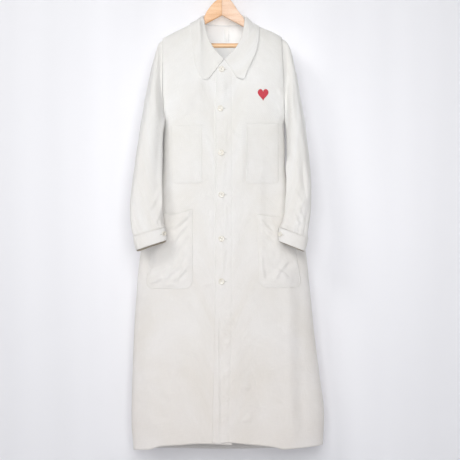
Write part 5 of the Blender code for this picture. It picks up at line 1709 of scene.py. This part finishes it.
def hanging_loop():
    """A strip cast onto the inside of the back, bowed off it as a half wave."""
    rows, columns = 60, 14
    grid = np.zeros((rows, columns, 3))
    for r, v in enumerate(np.linspace(0, 1, rows)):
        for c, u in enumerate(np.linspace(-0.5, 0.5, columns)):
            x = LOOP_X + LOOP_WIDTH * u
            z = LOOP_TOP + (LOOP_FOOT - LOOP_TOP) * v
            place, _ = cast([back_tree], (x, -20.0, z), (0.0, 1.0, 0.0))
            bowed = CLOTH + LOOP_CLOTH / 2 + 0.3 + LOOP_BOW * math.sin(math.pi * v)
            off = bowed - 0.3 * math.cos(4 * math.pi * u)
            grid[r, c] = place - np.array([0.0, off, 0.0])
    normals = normals_of(grid)
    normals = -normals if np.sum(normals[..., 1]) > 0 else normals
    piece, _ = cloth_shell(
        "coat_hanging_loop", grid, normals, LOOP_CLOTH, COTTON_INSIDE, ["hanging_loop"]
    )
    rows_of_thread = [(edge, distance) for edge in ("top", "foot") for distance in (2.0, 6.0)]
    rows_of_thread += [("start", 1.5), ("end", 1.5)]
    lines = [inset(grid, normals, edge, distance, LOOP_CLOTH / 2) for edge, distance in rows_of_thread]
    sewn = stitches("stitches_hanging_loop", lines, THREAD)


hanging_loop()


# The buttons: turned from shell, cream with grey and tan clouds, with a raised rim, a sunk
# middle and four holes, through which cotton thread holds each one on.
BUTTON_RADIUS = 9.0
BUTTON_HEIGHT = 3.0
CUFF_BUTTON_RADIUS = 7.0
CUFF_BUTTON_ANGLE = 2.52
CUFF_BUTTON_SHARE = 0.45
HOLE_RADIUS = 0.95
HOLE_OFF = 1.9
BUTTON_PROFILE = table("share height", [
    (0.0, 0.60), (0.30, 0.60), (0.52, 0.62), (0.66, 0.84),
    (0.76, 0.98), (0.86, 1.0), (0.95, 0.86), (1.0, 0.50),
])
FRONT_BUTTONS = table("x z turn", [
    (-1, -295, 0.3), (-4, -411, 0.9), (-2, -541, 0.1), (-1, -664, 0.6), (-1, -794, 0.4), (-1, -919, 1.1),
])


def shell_finish():
    """Shell: cream clouded with grey and tan, with a low pearly gloss."""
    made, shader, nodes, links = new_material(
        "button_shell", 0.28, more={"Coat Weight": 0.3, "Coat Roughness": 0.15},
    )
    place = add_node(nodes, "TexCoord")
    clouds = add_node(nodes, "TexNoise", {"Scale": 160.0, "Detail": 3.0, "Distortion": 1.2})
    tone = ramp(nodes, (0.70, 0.65, 0.56), (0.88, 0.86, 0.80), 0.32, 0.60)
    link_up(
        links,
        (place, "Object", clouds, "Vector"), (clouds, "Fac", tone, "Fac"),
        (tone, "Color", shader, "Base Color"),
    )
    return made


BUTTON_SHELL = shell_finish()


def frame_on(normal):
    """Two directions across a normal, the first one level."""
    side = unit(np.cross(np.array([0.0, 0.0, 1.0]), normal))
    return side, np.cross(normal, side)


def button_mesh(radius):
    """Points (across, up, out) of a button in rings: the face follows the profile and dips
    steeply at four holes, the back is flat."""
    steps = 64
    shares = np.concatenate([np.linspace(0.004, 0.5, 20), np.linspace(0.53, 1.0, 16)])
    turn = np.linspace(0, 2 * math.pi, steps, endpoint=False)
    a = radius * shares[:, None] * np.cos(turn)
    b = radius * shares[:, None] * np.sin(turn)
    face = BUTTON_HEIGHT * smooth(BUTTON_PROFILE, "share", "height", shares)[:, None] * np.ones(steps)
    hole_off = HOLE_OFF * radius / BUTTON_RADIUS
    depth = np.zeros_like(a)
    for quarter in range(4):
        angle = math.pi / 4 + quarter * math.pi / 2
        apart = np.hypot(a - hole_off * math.cos(angle), b - hole_off * math.sin(angle))
        depth = np.maximum(depth, ease((HOLE_RADIUS * 1.25 - apart) / (HOLE_RADIUS * 0.5)))
    face = face - 1.35 * depth
    front = np.stack([a, b, face], axis=-1)
    edge = np.stack([a[-1:] * 0.985, b[-1:] * 0.985, np.full((1, steps), 0.22 * BUTTON_HEIGHT)], axis=-1)
    rear = np.stack([a[::-6], b[::-6], np.zeros_like(a[::-6])], axis=-1) * [0.94, 0.94, 1.0]
    return np.concatenate([front, edge, rear])


def button_thread(radius):
    """Two loops of thread from hole to hole, each a low arch, as tubes of four strands."""
    hole_off = HOLE_OFF * radius / BUTTON_RADIUS
    tubes = []
    for pair in (-1, 1):
        for strand in (-0.32, 0.32):
            t = np.linspace(-1, 1, 14)
            along_x = hole_off * 0.75 * t
            line = np.stack([
                along_x, np.full_like(t, pair * hole_off * 0.707 + strand),
                0.6 * BUTTON_HEIGHT + 0.55 - 1.5 * np.abs(t) ** 4,
            ], axis=-1)
            tubes.append(line)
    return tubes


def tube_along(line, radius, steps=6):
    """A tube of even radius along a line of points."""
    direction = unit(np.gradient(line, axis=0))
    side = unit(np.cross(direction, np.array([0.13, 0.91, 0.39])))
    third = np.cross(direction, side)
    turn = np.linspace(0, 2 * math.pi, steps, endpoint=False)
    rings = (
        line[:, None] + radius * np.cos(turn)[None, :, None] * side[:, None]
        + radius * np.sin(turn)[None, :, None] * third[:, None]
    )
    return loft(rings)


def gathered(parts):
    """Several (points, faces) pairs as one."""
    points, faces, count = [], [], 0
    for part_points, part_faces in parts:
        points.append(part_points)
        faces += [[count + i for i in face] for face in part_faces]
        count += len(part_points)
    return np.concatenate(points), faces


def place_button(name, node, place, normal, radius, turn):
    """Sets a button and its threads on a place, turned about its own axis."""
    side, third = frame_on(normal)
    across = side * math.cos(turn) + third * math.sin(turn)
    up = np.cross(normal, across)
    basis = np.stack([across, up, normal])
    rings = button_mesh(radius)
    disc = make_piece(name, *loft(rings @ basis + place + normal * 0.5), BUTTON_SHELL)
    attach(disc, "root")
    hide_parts(node)
    tubes = [tube_along(line @ basis + place + normal * 0.5, 0.28) for line in button_thread(radius)]
    thread = make_piece(name + "_thread", *gathered(tubes), THREAD)
    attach(thread, "root")


def seat(trees, point, way, radius):
    """Place and normal of the plane that rests on the cloth's high spots under a disc."""
    centre, _ = cast(trees, point - way * 60, way)
    found = []
    side, third = frame_on(-way)
    for share in (0.5, 1.0):
        for i in range(16):
            turn = math.pi * i / 8
            spoke = side * math.cos(turn) + third * math.sin(turn)
            hit = cast(trees, centre + share * radius * spoke - way * 60, way)
            if hit is not None:
                found.append(hit[0])
    found = np.array(found)
    middle = found.mean(axis=0)
    _, _, axes = np.linalg.svd(found - middle)
    normal = axes[2] if np.dot(axes[2], way) < 0 else -axes[2]
    highest = max(float(np.max((found - centre) @ normal)), 0.0)
    return centre + normal * highest, normal


for number, (x, z, turn) in enumerate(zip(*FRONT_BUTTONS.values()), start=1):
    place, normal = seat([upper_tree], np.array([x, -100.0, z]), np.array([0.0, 1.0, 0.0]), BUTTON_RADIUS)
    place_button(f"button_{number}", f"front_button_{number}", place, normal, BUTTON_RADIUS, turn)

CUFF_ENDS = (("right", CUFF_RIGHT, cuff_right_tree), ("left", CUFF_LEFT, cuff_left_tree))
CUFF_SEATS = []
for wearer_side, rows, tree in CUFF_ENDS:
    level = filled_in(rows, np.array([CUFF_BUTTON_SHARE]))
    point = ring(level, np.array([CUFF_BUTTON_ANGLE]))[0, 0]
    centre = ring(level, np.linspace(0, 2 * math.pi, 24, endpoint=False))[0].mean(axis=0)
    place, normal = seat([tree], point, unit((centre - point) * [0.45, 1.0, 0.45]), CUFF_BUTTON_RADIUS)
    place_button(
        f"button_cuff_{wearer_side}", f"cuff_button_{wearer_side}", place, normal, CUFF_BUTTON_RADIUS, 0.5
    )
    outer = ring(level, np.array([CUFF_BUTTON_ANGLE - 0.6]))[0, 0]
    CUFF_SEATS.append((wearer_side, tree, place, normal, unit(outer - point)))


# The buttonholes: a cut in the cloth from the button's middle away from the edge, drawn as a
# dark sliver of painted shadow, its two sides and its ends covered by close stitches in the
# coat's thread. A button was once pushed through each of them; now its shank of thread fills the outer end.
HOLE_LENGTH = 17.5
CUFF_HOLE_LENGTH = 14.0
HOLE_SPREAD = 0.9
HOLE_GAPE = 0.32
HOLE_GAPE_ENDS = 0.05
HOLE_STEPS = 26
HOLE_PAST_ENDS = 0.6
HOLE_START = 2.5
CUFF_HOLE_START = 2.0
HOLE_STITCH_WIDTH = 0.62


def cut_shadow_finish():
    """The shadow in a cut between two layers of cotton, a warm dark grey, a little mottled."""
    made, shader, nodes, links = new_material("cut_painted_shadow", 1.0, 0.1)
    place = add_node(nodes, "TexCoord")
    mottle = add_node(nodes, "TexNoise", {"Scale": 700.0})
    tone = ramp(nodes, (0.30, 0.27, 0.23), (0.46, 0.43, 0.38))
    link_up(
        links,
        (place, "Object", mottle, "Vector"), (mottle, "Fac", tone, "Fac"),
        (tone, "Color", shader, "Base Color"),
    )
    return made


CUT_SHADOW = cut_shadow_finish()


def buttonhole(name, trees, start, ahead, way, length):
    """A slit from a start along a direction, cast onto the cloth: a dark sliver of painted shadow
    that narrows at both ends, close stitches across its sides, and a bar of stitches over each end."""
    above = unit(np.cross(ahead, way))
    steps = np.linspace(0, 1, HOLE_STEPS)

    def laid(run, off):
        """Places and normals on the cloth, at distances along the slit and off it."""
        found = [cast(trees, start + ahead * r + above * o - way * 60, way) for r, o in zip(run, off)]
        return np.array([hit[0] for hit in found]), np.array([hit[1] for hit in found])

    gape = HOLE_GAPE * np.sin(math.pi * steps) ** 0.5 + HOLE_GAPE_ENDS
    low, low_up = laid(length * steps, -gape)
    high, high_up = laid(length * steps, gape)
    rings = np.stack(
        [low + 0.05 * low_up, low + 0.22 * low_up, high + 0.22 * high_up, high + 0.05 * high_up], axis=1
    )
    # The slit is a painted shadow.
    slit = make_piece(name, *loft(rings), CUT_SHADOW)
    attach(slit, "root")
    off = np.full(HOLE_STEPS, HOLE_SPREAD + 0.5)
    sides = [laid(length * steps, share * off) for share in (-1, 1)]
    across = np.linspace(-1.9, 1.9, 12)
    end_places = (-HOLE_PAST_ENDS, length + HOLE_PAST_ENDS)
    ends = [laid(np.full(len(across), place), across) for place in end_places]
    stitches(name + "_sides", sides, THREAD, 0.62, 1.9, HOLE_STITCH_WIDTH, across=True)
    stitches(name + "_ends", ends, THREAD, 0.6, 1.6, HOLE_STITCH_WIDTH, across=True)


for number, (x, z, turn) in enumerate(zip(*FRONT_BUTTONS.values()), start=1):
    buttonhole(
        f"buttonhole_{number}", [upper_tree], np.array([x - HOLE_START, -100.0, z]),
        np.array([1.0, 0.0, 0.0]), np.array([0.0, 1.0, 0.0]), HOLE_LENGTH,
    )
for wearer_side, tree, place, normal, outwards in CUFF_SEATS:
    ahead = unit(outwards - normal * np.dot(outwards, normal))
    buttonhole(
        f"buttonhole_cuff_{wearer_side}", [tree], place - ahead * CUFF_HOLE_START, ahead, -normal,
        CUFF_HOLE_LENGTH,
    )


# The badge: a plain heart cut from red wool felt, over the wearer's left chest pocket. Its
# edge is whipped down with red thread.
BADGE_X = 121.0
BADGE_Z = -369.0
BADGE_WIDTH = 31.0
BADGE_HEIGHT = 34.0
BADGE_THICKNESS = 1.0


def felt():
    """Red wool felt: short matted fibres, a little darker in the dips as painted shade."""
    made, shader, nodes, links = new_material("red_felt", 0.95, 0.2, {"Sheen Weight": 0.25})
    place = add_node(nodes, "TexCoord")
    fibres = add_node(nodes, "TexNoise", {"Scale": 900.0, "Detail": 6.0})
    tone = ramp(nodes, (0.48, 0.045, 0.065), (0.68, 0.09, 0.115), 0.3, 0.7)
    bump = add_node(nodes, "Bump", {"Strength": 0.5, "Distance": 0.0003})
    link_up(
        links,
        (place, "Object", fibres, "Vector"), (fibres, "Fac", tone, "Fac"),
        (tone, "Color", shader, "Base Color"), (fibres, "Fac", bump, "Height"),
        (bump, "Normal", shader, "Normal"),
    )
    return made


def heart(turns):
    """The heart curve: the cube of the sine across, and 13, 5, 2 and 1 parts of the cosines of
    one to four times the angle up, scaled to about one half of its size."""
    across = np.sin(turns) ** 3
    up = 13 * np.cos(turns) - 5 * np.cos(2 * turns) - 2 * np.cos(3 * turns) - np.cos(4 * turns)
    return across, up / 14.5


def badge():
    """Rings of the heart that shrink to its middle, cast onto the front, the rim rounded."""
    steps = 120
    across, up = heart(np.linspace(0, 2 * math.pi, steps, endpoint=False))
    sizes = table("share height", [
        (1.0, 0.0), (1.0, 0.55), (0.985, 0.85), (0.96, 1.0),
        (0.85, 1.05), (0.6, 1.0), (0.3, 1.0), (0.02, 1.0),
    ])
    rings = []
    for share, height in zip(*sizes.values()):
        ring_points = []
        for hx, hz in zip(across, up):
            x = BADGE_X + share * BADGE_WIDTH / 2 * hx
            z = BADGE_Z + share * BADGE_HEIGHT / 2 * hz
            place, normal = cast([upper_tree], (x, -500.0, z), (0.0, 1.0, 0.0))
            ring_points.append(place + normal * (0.15 + BADGE_THICKNESS * height))
        rings.append(ring_points)
    rings = np.array(rings)
    piece = make_piece("badge_heart", *loft(rings), felt())
    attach(piece, "root")
    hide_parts("badge")
    rim = rings[1]
    rim = np.concatenate([rim, rim[:1]])
    up = unit(np.cross(np.gradient(rim, axis=0), rim - rim.mean(axis=0)))
    up = up if np.sum(up[:, 1]) < 0 else -up
    red_thread = thread_finish("red_thread", (0.42, 0.02, 0.04), (0.60, 0.05, 0.08))
    whipped = stitches("stitches_badge", [(rim + up * 0.35, up)], red_thread, 2.4, 2.6, 0.5, across=True)


badge()
